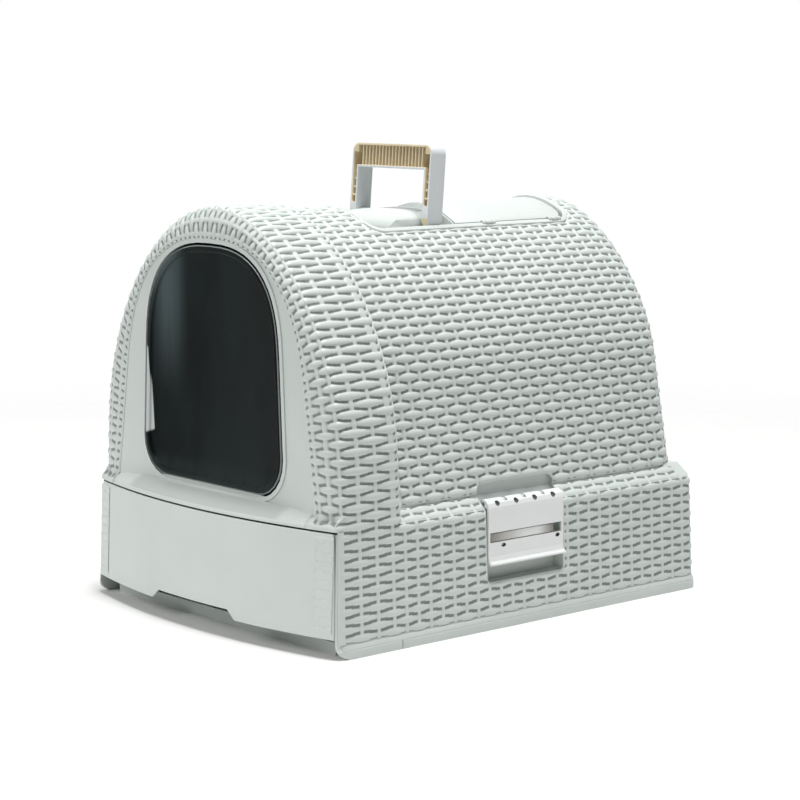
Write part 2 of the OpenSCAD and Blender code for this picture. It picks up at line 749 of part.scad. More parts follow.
module litter_tray() {
    low = tray_low;
    color(MINT) difference() {
        union() {
            slab(low, tray_top) plan(tray_half, tray_front, tray_rear, tray_corner);
            slab(tray_top - wall, tray_top) plan(
                tray_half + tray_flange, tray_front - tray_flange,
                tray_rear + tray_flange, tray_corner + tray_flange
            );
        }
        slab(low + wall, tray_top + 1)
            plan(tray_half - wall, tray_front + wall, tray_rear - wall, tray_corner - wall);
    }
}

// Solid behind the drawer front's belly curve, drawn in by off
module belly(off) {
    translate([0, belly_y, seam_h]) rotate([-front_rake, 0, 0]) translate([0, 0, -1.2 * seam_h])
        cylinder(r = belly_r - off, h = 1.5 * seam_h, $fn = 360);
}
function front_x(z) = skirt_x(z) - wall - front_gap;
module drawer_front() {
    top = seam_h - seam_gap / 2;
    color(MINT) {
        difference() {
            intersection() {
                along_y(front_y - 10, band_front) polygon([
                    [-front_x(front_low), front_low], [front_x(front_low), front_low],
                    [front_x(top), top], [-front_x(top), top]
                ]);
                difference() {
                    belly(0);
                    belly(front_t);
                }
            }
            along_y(front_y - 20, band_front) polygon([
                [-notch_half - 12, front_low - 1], [notch_half + 12, front_low - 1],
                [notch_half, front_low + notch_h], [-notch_half, front_low + notch_h]
            ]);
        }
        intersection() {
            block([-tray_half, front_y, tray_top], [tray_half, tray_front, tray_top + wall]);
            belly(front_t / 2);
        }
        for (s = [-1, 1]) on_side(s) intersection() {
            block([stay_half, front_y, front_low + 6], [stay_half + front_t, tray_front, tray_top - wall]);
            belly(front_t / 2);
        }
    }
}

// Clip, hanging closed from its barrel, with the window, the curled lip and notches for the hood's ribs
module clip(s) {
    x = clip_axis_x;
    z = clip_axis_h;
    out = clip_out;
    in = out - clip_t;
    y0 = clip_y - clip_l / 2;
    y1 = clip_y + clip_l / 2;
    tip = overall_w / 2 - 0.1;
    notch = clip_rib_w / 2 + move_gap;
    color(WHITE) on_side(s) difference() {
        union() {
            bar_y(x, z, clip_barrel_r, y0, y1);
            along_y(y0, y1) polygon([
                [x, z + clip_barrel_r], [x + 3.4, z + 3.6], [out - 1.6, z + 0.8],
                [out - 0.3, z - 3], [out, z - 7],
                [out, clip_low + 8], [out + 1.2, clip_low + 3.6], [tip, clip_low + 1.6], [tip, clip_low],
                [tip - 1.2, clip_low - 0.4], [out - 0.6, clip_low + 1.2], [in, clip_low + 7],
                [in, z - 4], [x + 2, z - 3]
            ]);
        }
        bar_y(x, z, clip_pin_r + run_gap, y0 - 1, y1 + 1);
        block(
            [in - 1, clip_y - window_half, window_low],
            [out + 1, clip_y + window_half, window_low + window_h]
        );
        for (i = [-1 : 1])
            block(
                [x - 10, clip_y + i * clip_rib_pitch - notch, z - 12],
                [in - 0.2, clip_y + i * clip_rib_pitch + notch, z + 10]
            );
    }
}
module latch_left() { clip(-1); }
module latch_right() { clip(1); }
module latch_pin(s) {
    color(GREY) on_side(s)
        bar_y(clip_axis_x, clip_axis_h, clip_pin_r, clip_y - clip_l / 2 + 2, clip_y + clip_l / 2 - 2);
}
module latch_pin_left() { latch_pin(-1); }
module latch_pin_right() { latch_pin(1); }

// Hump between the handle's legs, drawn in by off
module hump(off) {
    top = rear_top - 4 - off;
    half = hump_half - off;
    y0 = handle_axis_y + 24 - hump_l + off;
    y1 = handle_axis_y + 24 - off;
    low = off > 0 ? well_floor_h - 1 : well_floor_h;
    rise = top - floor_top;
    intersection() {
        along_y(y0, y1) polygon(mirrored(concat(
            [[half, low]],
            [for (i = [0 : 8]) let(a = 90 * i / 8)
                [half * (i == 8 ? 0 : pow(cos(a), 0.55)), floor_top + rise * pow(sin(a), 0.55)]]
        )));
        slab(low, top + 1) plan(half, y0, y1, 14 - off);
        translate([half, 0, 0]) rotate([90, 0, -90]) linear_extrude(2 * half) polygon(concat(
            [[-y1, low], [-y1, top - 6], [-y1 + 6, top + 1]],
            [for (i = [0 : 6]) let(a = 15 * i)
                [-y0 - hump_fall * (1 - sin(a)), floor_top + (rise + 1) * cos(a)]],
            [[-y0, low]]
        ));
    }
}
// Ears of one lid hinge on the well
module lid_ears(y) {
    for (s = [-1, 1]) {
        y0 = y + (s * (knuckle_l - ear_l) - ear_l) / 2;
        bar_y(knuckle_x, knuckle_z, knuckle_r, y0, y0 + ear_l);
        block([well_in - 1, y0, well_floor_h + 1], [well_half - set_gap, y0 + ear_l, knuckle_z]);
    }
}
// Free way of the lid's knuckle between the ears
module lid_way(y) {
    reach = knuckle_l / 2 - ear_l;
    bar_y(knuckle_x, knuckle_z, knuckle_r + move_gap, y - reach, y + reach);
    block(
        [lid_edge - 2, y - reach, knuckle_z - 2],
        [knuckle_x + knuckle_r + move_gap, y + reach, knuckle_z + 2 * knuckle_r]
    );
}
// Boss on the hump that carries one of the handle's pins
module handle_boss() {
    bar_x(handle_axis_y, handle_axis_h, handle_pin_r + 3, boss_x - boss_l, boss_x);
}
module top_well() {
    color(MINT) difference() {
        union() {
            intersection() {
                difference() {
                    slab(well_floor_h, band_top + 5) well_plan(-set_gap);
                    slab(well_floor_h + wall, band_top + 6) well_plan(-well_wall);
                }
                arch_prism(well_lip, well_front - 5, well_rear + 5);
            }
            intersection() {
                difference() {
                    slab(well_floor_h, band_top + 5) well_plan(well_lip_w);
                    slab(well_floor_h - 1, band_top + 6) well_plan(-well_wall);
                }
                difference() {
                    arch_prism(well_lip, well_front - 5, well_rear + 5);
                    arch_prism(0, well_front - 6, well_rear + 6);
                }
            }
            intersection() {
                block(
                    [-well_in - 0.2, lid_front - 3, well_floor_h],
                    [well_in + 0.2, lid_front - 1.4, band_top]
                );
                arch_prism(0, well_front, well_rear);
            }
            hump(0);
            for (s = [-1, 1]) on_side(s) handle_boss();
            for (y = hinge_places) lid_ears(y);
        }
        difference() {
            hump(2);
            for (s = [-1, 1]) on_side(s) handle_boss();
        }
        for (s = [-1, 1]) on_side(s)
            bar_x(handle_axis_y, handle_axis_h, handle_pin_r, boss_x - boss_l + 2, boss_x + 1);
        slab(well_floor_h - 1, floor_top + 1)
            plan(well_in - 1.5 * grille_rest, lid_front + grille_rest, lid_rear - grille_rest, grille_frame);
        for (y = hinge_places) {
            lid_way(y);
            bar_y(knuckle_x, knuckle_z, lid_pin_r, y - knuckle_l / 2, y + knuckle_l / 2);
        }
    }
}

// Handle about its own axis, standing straight up
module handle_upright() {
    inner = handle_half - leg_w;
    low = handle_rise - grip_h;
    ways = grip_ribs + 1;
    w = handle_wall;
    deep = handle_d / 2 - w;
    difference() {
        union() {
            along_y(-handle_d / 2, handle_d / 2) difference() {
                union() {
                    translate([-handle_half, 0]) square([2 * handle_half, handle_rise - handle_corner]);
                    translate([handle_corner - handle_half, 0])
                        square([2 * (handle_half - handle_corner), handle_rise]);
                    for (s = [-1, 1])
                        translate([s * (handle_half - handle_corner), handle_rise - handle_corner])
                            circle(handle_corner);
                }
                translate([-inner, -1]) square([2 * inner, low + 1]);
            }
            for (s = [-1, 1]) on_side(s) bar_x(0, 0, handle_d / 2, inner, handle_half);
        }
        difference() {
            union() {
                block([w - handle_half, -handle_d, low + w], [handle_half - w, deep, handle_rise - w]);
                for (s = [-1, 1]) on_side(s)
                    block([inner + w, -handle_d, 12], [handle_half - w, deep, low + 2 * w]);
            }
            for (i = [1 : grip_ribs])
                translate([mix(-inner, inner, i / ways) - 0.7, -handle_d / 2 + 1, low])
                    cube([1.4, handle_d - w, grip_h]);
            for (s = [-1, 1], i = [0 : 3])
                on_side(s)
                    block(
                        [inner, -handle_d / 2 + 1 + i * 0.8, 18 + i * 8],
                        [handle_half - 1, deep, 20 + i * 8]
                    );
            for (s = [-1, 1]) on_side(s) block(
                [handle_half - handle_corner, -handle_d, handle_rise - handle_corner],
                [handle_half, handle_d, handle_rise]
            );
        }
        for (s = [-1, 1]) on_side(s) bar_x(0, 0, handle_pin_r + run_gap, inner - 1, handle_half - 2);
    }
}
module handle() {
    color(CREAM) translate([0, handle_axis_y, handle_axis_h]) rotate([-handle_lean, 0, 0]) handle_upright();
}
module handle_pin(s) {
    color(GREY) on_side(s)
        bar_x(handle_axis_y, handle_axis_h, handle_pin_r, boss_x - boss_l + 2, handle_half - 2.4);
}
module handle_pin_left() { handle_pin(-1); }
module handle_pin_right() { handle_pin(1); }

module filter_lid() {
    half_l = knuckle_l / 2 - ear_l - 0.4;
    color(MINT) difference() {
        union() {
            intersection() {
                translate([(lid_edge - lid_half) / 2, 0, 0]) slab(well_floor_h, band_top)
                    plan_open((lid_edge + lid_half) / 2, lid_front, lid_rear, well_corner - 3);
                difference() {
                    arch_prism(0.6, lid_front - 1, lid_rear + 1);
                    arch_prism(0.6 - lid_t, lid_front - 2, lid_rear + 2);
                }
            }
            for (y = hinge_places) {
                bar_y(knuckle_x, knuckle_z, knuckle_r, y - half_l, y + half_l);
                block(
                    [lid_edge - 1.5, y - half_l, knuckle_z - 1.4],
                    [knuckle_x, y + half_l, knuckle_z + 1]
                );
            }
        }
        for (y = hinge_places)
            bar_y(knuckle_x, knuckle_z, lid_pin_r + run_gap, y - half_l - 1, y + half_l + 1);
    }
}
module lid_hinge_pins() {
    color(GREY) for (y = hinge_places)
        bar_y(knuckle_x, knuckle_z, lid_pin_r, y - knuckle_l / 2 + 0.3, y + knuckle_l / 2 - 0.3);
}
module filter_grille() {
    y0 = lid_front + grille_rest / 2;
    y1 = lid_rear - grille_rest / 2;
    half = well_in - grille_rest;
    slots_y = y0 + grille_frame + grille_rest / 4;
    pitch = (y1 + y0 - 2 * slots_y) / grille_slots;
    color(MINT) difference() {
        slab(floor_top, floor_top + grille_t) plan(half, y0, y1, grille_frame - 1);
        for (i = [0 : grille_slots - 1], s = [-1, 1]) on_side(s) block(
            [grille_frame / 2, slots_y + i * pitch, floor_top - 1],
            [half - grille_rest, slots_y + (i + 0.6) * pitch, floor_top + grille_t + 1]
        );
    }
}
module filter_pad() {
    color(CARBON) slab(floor_top + grille_t, floor_top + grille_t + pad_t)
        plan(well_in - 1.6 * grille_rest, lid_front + grille_rest, lid_rear - grille_rest, grille_rest);
}

hood();
door_flap();
door_pivot_left();
door_pivot_right();
base_tray();
litter_tray();
drawer_front();
latch_left();
latch_right();
latch_pin_left();
latch_pin_right();
catch_left();
catch_right();
top_well();
handle();
handle_pin_left();
handle_pin_right();
filter_lid();
lid_hinge_pins();
filter_pad();
filter_grille();
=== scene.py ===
import json
import math

import bpy
import numpy as np
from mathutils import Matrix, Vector

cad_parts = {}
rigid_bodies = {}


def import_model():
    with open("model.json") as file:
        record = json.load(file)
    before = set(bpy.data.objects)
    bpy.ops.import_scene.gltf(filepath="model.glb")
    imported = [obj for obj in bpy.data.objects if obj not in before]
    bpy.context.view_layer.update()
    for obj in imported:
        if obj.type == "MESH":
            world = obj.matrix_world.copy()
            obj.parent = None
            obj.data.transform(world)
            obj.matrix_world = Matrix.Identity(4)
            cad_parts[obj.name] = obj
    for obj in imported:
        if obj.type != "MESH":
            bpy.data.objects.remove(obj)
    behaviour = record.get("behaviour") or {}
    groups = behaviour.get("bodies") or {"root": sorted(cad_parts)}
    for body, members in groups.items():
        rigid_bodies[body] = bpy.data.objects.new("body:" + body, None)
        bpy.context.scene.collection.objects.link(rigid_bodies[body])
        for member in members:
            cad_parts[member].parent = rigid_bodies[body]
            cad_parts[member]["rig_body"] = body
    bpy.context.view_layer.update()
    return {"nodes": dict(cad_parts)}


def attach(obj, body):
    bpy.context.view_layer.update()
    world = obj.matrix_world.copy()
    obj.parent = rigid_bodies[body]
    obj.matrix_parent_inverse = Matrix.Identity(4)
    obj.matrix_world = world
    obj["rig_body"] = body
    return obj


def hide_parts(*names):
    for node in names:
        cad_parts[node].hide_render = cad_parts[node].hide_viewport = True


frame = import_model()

# Lengths are in mm, except on Object coordinates in the finishes and at the lamps and the camera,
# which are in metres. The sheets and the mouldings are turned into metres with MM.
MM = 0.001
CASING = "casing"


# ---------------------------------------------------------------- finishes
X, Y, Z = 0, 1, 2


def srgb(r, g, b):
    """Linear colour from the 0 to 255 values of a colour chart."""
    def linear(c):
        return c / 255 / 12.92 if c <= 10 else ((c / 255 + 0.055) / 1.055) ** 2.4

    return linear(r), linear(g), linear(b), 1.0


class Amount:
    """What a node gives out. Sums on a number add Math nodes."""

    def __init__(self, nodes, socket):
        self.nodes, self.socket = nodes, socket

    def _sum(self, operation, first, second):
        return self.nodes.node("Math", {"operation": operation}, {0: first, 1: second})

    def __add__(self, other):
        return self._sum("ADD", self, other)

    def __radd__(self, other):
        return self._sum("ADD", other, self)

    def __sub__(self, other):
        return self._sum("SUBTRACT", self, other)

    def __rsub__(self, other):
        return self._sum("SUBTRACT", other, self)

    def __mul__(self, other):
        return self._sum("MULTIPLY", self, other)

    def __rmul__(self, other):
        return self._sum("MULTIPLY", other, self)

    def above(self, edge, width):
        """0 below edge, 1 above edge + width, with a soft step between."""
        return self.nodes.node("MapRange", {"interpolation_type": "SMOOTHSTEP"},
                               {"Value": self, "From Min": edge, "From Max": edge + width})


class Nodes:
    """The node tree of a material or a world."""

    def __init__(self, owner):
        owner.use_nodes = True
        self.tree = owner.node_tree
        self.tree.nodes.clear()

    def node(self, kind, settings=None, sockets=None, out=0):
        """Any node: its settings are set first, then its sockets get their values or links.
        Gives the output out, by number or name."""
        made = self.tree.nodes.new("ShaderNode" + kind)
        for name, value in (settings or {}).items():
            setattr(made, name, value)
        for name, value in (sockets or {}).items():
            self.feed(made.inputs[name], value)
        return Amount(self, made.outputs[out])

    def feed(self, socket, value):
        if isinstance(value, Amount):
            self.tree.links.new(value.socket, socket)
        else:
            socket.default_value = value

    def surface(self, kind, shader):
        """Feed a shader to the tree's output node."""
        self.tree.links.new(shader, self.tree.nodes.new("ShaderNode" + kind).inputs[0])


class Finish(Nodes):
    """A procedural material with one Principled shader, whose constants are given by socket name."""

    def __init__(self, name, **constants):
        self.material = bpy.data.materials.new(name)
        super().__init__(self.material)
        self.shader = self.tree.nodes.new("ShaderNodeBsdfPrincipled")
        self.surface("OutputMaterial", self.shader.outputs[0])
        for socket, value in constants.items():
            self.shader.inputs[socket.replace("_", " ")].default_value = value

    def drive(self, **varying):
        """Feed the shader's own sockets with what changes over the surface."""
        for name, value in varying.items():
            self.feed(self.shader.inputs[name.replace("_", " ")], value)

    def place(self):
        return self.node("TexCoord", out=3)

    def along(self, axis):
        return self.node("SeparateXYZ", {}, {0: self.place()}, out=axis)

    def noise(self, scale, detail=3.0, rough=0.55, stretch=None):
        where = self.place()
        if stretch:
            where = self.node("Mapping", {}, {0: where, 3: stretch})
        return self.node("TexNoise", {}, {0: where, "Scale": scale, "Detail": detail, "Roughness": rough})

    def cloud(self):
        return self.noise(9.0, 4.0)

    def grain(self):
        return self.noise(1400.0, 2.0)

    def tint(self, amount, low, high):
        return self.node("Mix", {"data_type": "RGBA"}, {0: amount, 6: low, 7: high}, out=2)

    def bump(self, height, strength, distance):
        return self.node("Bump", {}, {"Height": height, "Strength": strength, "Distance": distance})


MINT, MINT_SHADE = srgb(197, 203, 199), srgb(192, 199, 195)
# Colour of the shade painted into the weave's hollows
HOLLOW_SHADE = srgb(118, 127, 123)
WHITE, WHITE_SHADE = srgb(226, 228, 227), srgb(219, 221, 221)
# Painted shade at the ends of the clips' tongues
TONGUE_SHADE = srgb(122, 113, 102)
# Colour of the flap's scuffs and of its painted sheen, and colour of its painted glint
SCUFF_AND_SHEEN, PAINTED_GLINT = srgb(74, 86, 88), srgb(205, 209, 209)


def moulded_plastic(name, colour, shade, rough=0.42, grain=0.10, **constants):
    """Satin moulded plastic: faint clouding, fine grain, roughness that wanders a little."""
    f = Finish(name, **constants)
    cloud, grainy = f.cloud(), f.grain()
    f.drive(
        Base_Color=f.tint(cloud.above(0.3, 0.4), shade, colour),
        Roughness=rough + (cloud - 0.5) * 0.10 + (grainy - 0.5) * 0.06,
        Normal=f.bump(grainy, grain, 0.0002),
    )
    return f


def woven_plastic():
    """The casing's plastic on the weave, with painted shade in the hollows between the strands."""
    f = Finish("woven_mint", IOR=1.46)
    cloud, grainy = f.cloud(), f.grain()
    streak = f.noise(160.0, 3.0, 0.6, stretch=(1.0, 0.18, 1.0))
    # A point attribute from the sheets: 1 on the strands, lower where shade is painted
    painted_shading = f.node("Attribute", {"attribute_name": "painted_shading"}, out=2)
    strand = f.tint(cloud.above(0.3, 0.4), MINT_SHADE, MINT)
    f.drive(
        Base_Color=f.tint(painted_shading.above(0.0, 0.4), HOLLOW_SHADE, strand),
        Roughness=0.44 + (cloud - 0.5) * 0.10 + (streak - 0.5) * 0.08,
        Normal=f.bump(streak * 0.6 + grainy * 0.4, 0.12, 0.0003),
    )
    return f


# The flap's finish, in metres: edges of its painted sheen, top of its scuffed foot, and edges of its painted
# glint
SHEEN_LEFT, SHEEN_RIGHT, SHEEN_FOOT, SCUFF_TOP = -0.105, -0.065, 0.20, 0.14
GLINT_LEFT, GLINT_RIGHT, GLINT_FOOT, GLINT_TOP = -0.1078, -0.0955, 0.208, 0.255
# Z where GLINT_RIGHT holds, how much the glint narrows above it, and how much its foot slants
GLINT_SET, GLINT_TAPER, GLINT_SLANT = 0.172, 0.07, 0.35


def smoked_plastic(name, gloss, low, high):
    """Glossy dark sheet with haze, upright scuffs, a painted sheen (a reflection) at the upper left and a
    painted glint (a highlight) on the left edge.
    """
    f = Finish(name, IOR=1.5, Specular_IOR_Level=gloss)
    haze = f.noise(14.0, 4.0, 0.6, stretch=(1.0, 1.0, 0.35))
    scuff = f.noise(420.0, 2.0, 0.5, stretch=(1.0, 1.0, 0.12))
    streak = f.noise(60.0, 3.0, 0.6, stretch=(1.0, 1.0, 0.05))
    x, z = f.along(X), f.along(Z)
    # Painted reflection: a sheen in an upright band left of the middle, stronger towards the top
    sheen = x.above(SHEEN_LEFT, 0.03) * (1 - x.above(SHEEN_RIGHT, 0.03)) * z.above(SHEEN_FOOT, 0.12)
    sheen = sheen * (0.45 + streak)
    foot = (1 - z.above(SCUFF_TOP, 0.02)) * streak
    # Painted highlight: a glint on the left edge, slanting at its foot and narrowing upwards
    right, slanting = x + (z - GLINT_SET) * GLINT_TAPER, z - x * GLINT_SLANT
    glint = (x.above(GLINT_LEFT, 0.001) * (1 - right.above(GLINT_RIGHT, 0.0015))
             * slanting.above(GLINT_FOOT, 0.003) * (1 - z.above(GLINT_TOP, 0.003)))
    dark = f.tint(haze.above(0.35, 0.3), low, high)
    scuffed_and_sheen = f.tint(sheen * 0.9 + foot * 0.25, dark, SCUFF_AND_SHEEN)
    f.drive(
        Base_Color=f.tint(glint * 0.85, scuffed_and_sheen, PAINTED_GLINT),
        Roughness=0.10 + haze * 0.06 + (scuff - 0.5) * 0.05,
        Alpha=0.96 + (haze - 0.5) * 0.04,
        Normal=f.bump(scuff, 0.04, 0.0002),
    )
    return f


def tongue_plastic():
    """White plastic with painted shade: greyer towards both ends, where it lies deeper in its slot."""
    f = moulded_plastic("tongue_white", WHITE, WHITE_SHADE, 0.4, IOR=1.46)
    along = f.along(Y) + f.noise(60.0, 3.0) * 0.01
    # 1 in the middle, falling to 0 at both ends, where shade is painted
    lit_middle = along.above(-0.045, 0.065) * (1 - along.above(0.025, 0.03))
    f.drive(Base_Color=f.tint(lit_middle, TONGUE_SHADE, WHITE))
    return f


mint = moulded_plastic("mint_plastic", MINT, MINT_SHADE, IOR=1.46)
woven = woven_plastic()
white = moulded_plastic("white_plastic", WHITE, WHITE_SHADE, 0.36, IOR=1.46)
tongue = tongue_plastic()
cream = moulded_plastic("cream_plastic", srgb(222, 208, 178), srgb(210, 194, 160), 0.5, IOR=1.46)
handle_white = moulded_plastic("handle_white", srgb(214, 217, 218), srgb(205, 209, 211), 0.38, IOR=1.46)
pin_grey = moulded_plastic("pin_grey", srgb(150, 152, 152), srgb(135, 138, 138), 0.45, IOR=1.46)
# Painted shade inside the holes cut into the clips
clip_hole_shade = moulded_plastic("clip_hole_shade", srgb(96, 98, 90), srgb(84, 86, 80), 0.6, IOR=1.46)
felt = moulded_plastic("carbon_felt", srgb(38, 38, 38), srgb(22, 22, 22), 0.9, grain=0.5)
smoked = smoked_plastic("smoked_sheet", 0.06, srgb(5, 12, 12), srgb(16, 27, 26))
# Painted highlight: a lighter, glossier finish for the rounding of the flap's rim
painted_rim_highlight = smoked_plastic("painted_rim_highlight", 0.6, srgb(112, 120, 119), srgb(128, 136, 134))


def wear(piece, finish):
    piece.data.materials.clear()
    piece.data.materials.append(finish.material)


FINISH_OF = {"door_flap": smoked, "latch_left": white, "latch_right": white, "catch_left": tongue,
             "catch_right": tongue, "handle": handle_white, "filter_pad": felt}
PIN_NAMES = ("door_pivot", "latch_pin", "handle_pin", "lid_hinge")
for name, node in frame["nodes"].items():
    wear(node, FINISH_OF.get(name, pin_grey if name.startswith(PIN_NAMES) else mint))


# ---------------------------------------------------------------- the casing's curves
# Y of the doorway's panel, the band's front edge, the step from the band to the rear arch, and the arch's rear
PANEL_Y, BAND_FRONT, STEP_FRONT, STEP_REAR, ARCH_REAR = -222.5, -210.5, -152.5, -136.5, 241.5
STRIP_D = BAND_FRONT - PANEL_Y
REAR_ROUND = 36.0
# Z of the skirt's foot, the ledge, the seam above the drawer, and the feet of the arches' walls
RIM_TOP, LEDGE, SEAM, ARCH_LOW, ARCH_FOOT = 13.0, 113.0, 114.5, 115.0, 126.5
SKIRT_HALF, SKIRT_REAR, CORNER = 189.6, 247.6, 14.4
LEAN, FRONT_SLOPE = 0.04, 0.0384
# Arches: half width at the floor, lean of the wall, spring height, crown height, squareness
BAND = (SKIRT_HALF, LEAN, 172.0, 395.0, 1.94)
REAR = (195.0, 0.19, 240.0, 390.0, 1.92)
PANEL = (180.0, 0.147, 218.0, 368.6, 2.6)
# A clip's pocket: its middle and half width along Y, its foot, its top, and the rounding of these two
POCKET_Y, POCKET_HALF, POCKET_LOW, POCKET_TOP = 7.5, 50.0, 44.5, 136.0
FOOT_ROUND, TOP_ROUND = 6.0, 9.0


def outline(shape, tau, off=0.0):
    """X and Z of an arch's right half, drawn in by off.
    tau runs 0 to 1 up the straight wall and 1 to 2 over to the crown."""
    half, lean, spring, top, square = shape
    half, top = half - off, top - off
    angle = np.clip(tau - 1, 0, 1) * math.pi / 2
    wall_z = ARCH_LOW + (spring - ARCH_LOW) * tau
    vault_z = spring + (top - spring) * np.sin(angle) ** (2 / square)
    z = np.where(tau < 1, wall_z, vault_z)
    return (half - lean * z) * np.cos(angle) ** (2 / square), z


class Arc:
    """Length along an arch from its crown down the side to the height low, as a table."""

    def __init__(self, shape, low):
        # Finer towards the crown, and down past the floor
        tau = 2 - np.linspace(0, 2, 12001) ** 1.5 * 2
        x, z = outline(shape, tau)
        keep = z >= low
        self.tau = tau[keep]
        self.x, self.z = x[keep], z[keep]
        self.length = np.concatenate([[0], np.cumsum(np.hypot(np.diff(self.x), np.diff(self.z)))])
        self.total = self.length[-1]

    def at(self, t):
        return np.interp(np.abs(t), self.length, self.tau)

    def of_x(self, x):
        return float(np.interp(x, self.x, self.length))

    def of_z(self, z):
        return float(np.interp(-z, -self.z, self.length))


def mix(a, b, q):
    return a + (b - a) * q


def fade(distance, width):
    """0 at no distance and 1 from width on, soft at both ends."""
    q = np.clip(distance / width, 0, 1)
    return q * q * (3 - 2 * q)


def rounded_gap(x, y, half, y0, y1, r):
    """Distance outside a rounded rectangle about X = 0."""
    dx = np.abs(x) - (half - r)
    dy = np.abs(y - (y0 + y1) / 2) - ((y1 - y0) / 2 - r)
    return np.hypot(np.maximum(dx, 0), np.maximum(dy, 0)) + np.minimum(np.maximum(dx, dy), 0) - r


# ---------------------------------------------------------------- the weave and its sheets
# Grid lines across a row and along a strand, as shares of the row's and the strand's length
ACROSS_ROW = np.array([-1, -0.84, -0.68, -0.42, 0, 0.42, 0.68, 0.84]) / 2 + 0.5
ALONG_STRAND = np.array([0, 0.07, 0.13, 0.2, 0.34, 0.5, 0.66, 0.8, 0.87, 0.93])
# Height of the strands' crowns above their hollows on the arches, and on the skirt and the rear wall
ARCH_LIFT, WALL_LIFT = 2.3, 1.7
# How much the shade painted over a sheet darkens it at most
SHADE_PAINT_MOST = 0.75
# A distance that means no opening is near, and the least that a divisor may be
FAR, TINY = 99.0, 1e-9


def stations(edges, marks, extra=()):
    """Grid lines between neighbouring edges at the given shares. The line nearest to each extra moves there."""
    edges = np.asarray(edges, float)
    lines = (edges[:-1, None] + np.diff(edges)[:, None] * marks[None, :]).ravel()
    lines = np.append(lines, edges[-1])
    for e in extra:
        lines[np.argmin(np.abs(lines - e))] = e
    return lines


def column(stakes, place):
    """Number of stakes passed at a place, and the spacing of the stakes there."""
    s = np.interp(place, stakes, np.arange(len(stakes)))
    return s, np.diff(stakes)[np.clip(s.astype(int), 0, len(stakes) - 2)]


def weave(s, t, pitch, lens=0.74, slant=0.16, round_=2.2, low=0.32, stake=2.0):
    """Height 0 to 1 of a plain weave. s counts stakes, t counts rows, pitch is the stakes' spacing in mm.
    A strand fills lens of its row, slant more where it lies over a stake and less where it dips behind,
    with a section of squareness round_. Its lowest crown is low, and stake is a stake's half width in mm."""
    n = np.floor(t + 1e-6)
    across = (t - n - 0.5) * 2
    over = np.cos(math.pi * (s + n))
    crown = low + (1 - low) * (0.5 + 0.5 * over) ** 0.8
    strand = crown * np.maximum(0, 1 - np.abs(across / (lens + slant * over)) ** round_) ** 0.5
    nearest = np.round(s)
    rise = -np.cos(math.pi * (nearest + t - 0.5))
    rib = (0.52 + 0.12 * rise) * np.maximum(0, 1 - ((s - nearest) * pitch / stake) ** 2) ** 0.4
    return np.maximum(strand, rib)


def cut_sheet(u, v, hole):
    """The grid with its cut edge drawn to the opening's edge, and which of its cells are left."""
    rows, cols = u.shape
    step = 0.02
    for _ in range(2):
        d = hole(u, v)
        cells = (d[:-1, :-1] + d[1:, :-1] + d[:-1, 1:] + d[1:, 1:]) / 4 > 0
        kept, lost = np.zeros(u.shape, bool), np.zeros(u.shape, bool)
        for du in (0, 1):
            for dv in (0, 1):
                corner = (slice(du, rows - 1 + du), slice(dv, cols - 1 + dv))
                kept[corner] |= cells
                lost[corner] |= ~cells
        edge = kept & lost
        along_u = (hole(u + step, v) - hole(u - step, v)) / (2 * step)
        along_v = (hole(u, v + step) - hole(u, v - step)) / (2 * step)
        size = np.maximum(along_u ** 2 + along_v ** 2, TINY)
        u = np.where(edge, u - d * along_u / size, u)
        v = np.where(edge, v - d * along_v / size, v)
    return u, v, cells


def sheet_normal(u, v, base, flip):
    step = 0.05
    normal = np.cross(base(u + step, v) - base(u - step, v), base(u, v + step) - base(u, v - step))
    normal /= np.maximum(np.linalg.norm(normal, axis=-1, keepdims=True), TINY)
    return -normal if flip else normal


def skin(name, u_lines, v_lines, base, height, lift, floor, hole=None, flip=False, hollow_shade=1.0, shade_paint=None,
         body=CASING):
    """Sheet over base(u, v), raised along its normals by floor + lift * height.
    height(u, v) gives the weave's height and how much of it is left near the sheet's borders.
    floor is a number or a function of u and v. hole(u, v) is the distance outside an opening cut in the sheet.
    tone is how much shade is painted into its hollows, and dim(u, v) paints further shade over the sheet. flip
    turns its faces over."""
    u, v = np.meshgrid(np.asarray(u_lines, float), np.asarray(v_lines, float), indexing="ij")
    rows, cols = u.shape
    cells = np.ones((rows - 1, cols - 1), bool)
    if hole is not None:
        u, v, cells = cut_sheet(u, v, hole)
    h, ease = height(u, v)
    ground = floor(u, v) if callable(floor) else floor
    if hole is not None:
        outside = hole(u, v)
        ease = ease * fade(outside, 1.2)
        ground = ground * fade(outside + 0.6, 0.8)
    points = base(u, v) + sheet_normal(u, v, base, flip) * (ground + lift * h * ease)[..., None]
    # Shade painted into the hollows and over the sheet, kept as a point attribute that the woven finish reads
    painted_shading = 1 - ease * hollow_shade * (1 - h)
    if shade_paint is not None:
        painted_shading = painted_shading * (1 - SHADE_PAINT_MOST * shade_paint(u, v))

    index = np.arange(rows * cols).reshape(rows, cols)
    quads = np.stack([index[:-1, :-1], index[1:, :-1], index[1:, 1:], index[:-1, 1:]], -1)[cells]
    if flip:
        quads = quads[:, ::-1]
    used = np.unique(quads)
    renumber = np.zeros(rows * cols, int)
    renumber[used] = np.arange(len(used))
    mesh = bpy.data.meshes.new(name)
    mesh.from_pydata((points.reshape(-1, 3)[used] * MM).tolist(), [], renumber[quads].tolist())
    attribute = mesh.attributes.new("painted_shading", "FLOAT", "POINT")
    attribute.data.foreach_set("value", painted_shading.reshape(-1)[used].astype(np.float32))
    mesh.shade_smooth()
    piece = bpy.data.objects.new(name, mesh)
    bpy.context.scene.collection.objects.link(piece)
    wear(piece, woven)
    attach(piece, body)


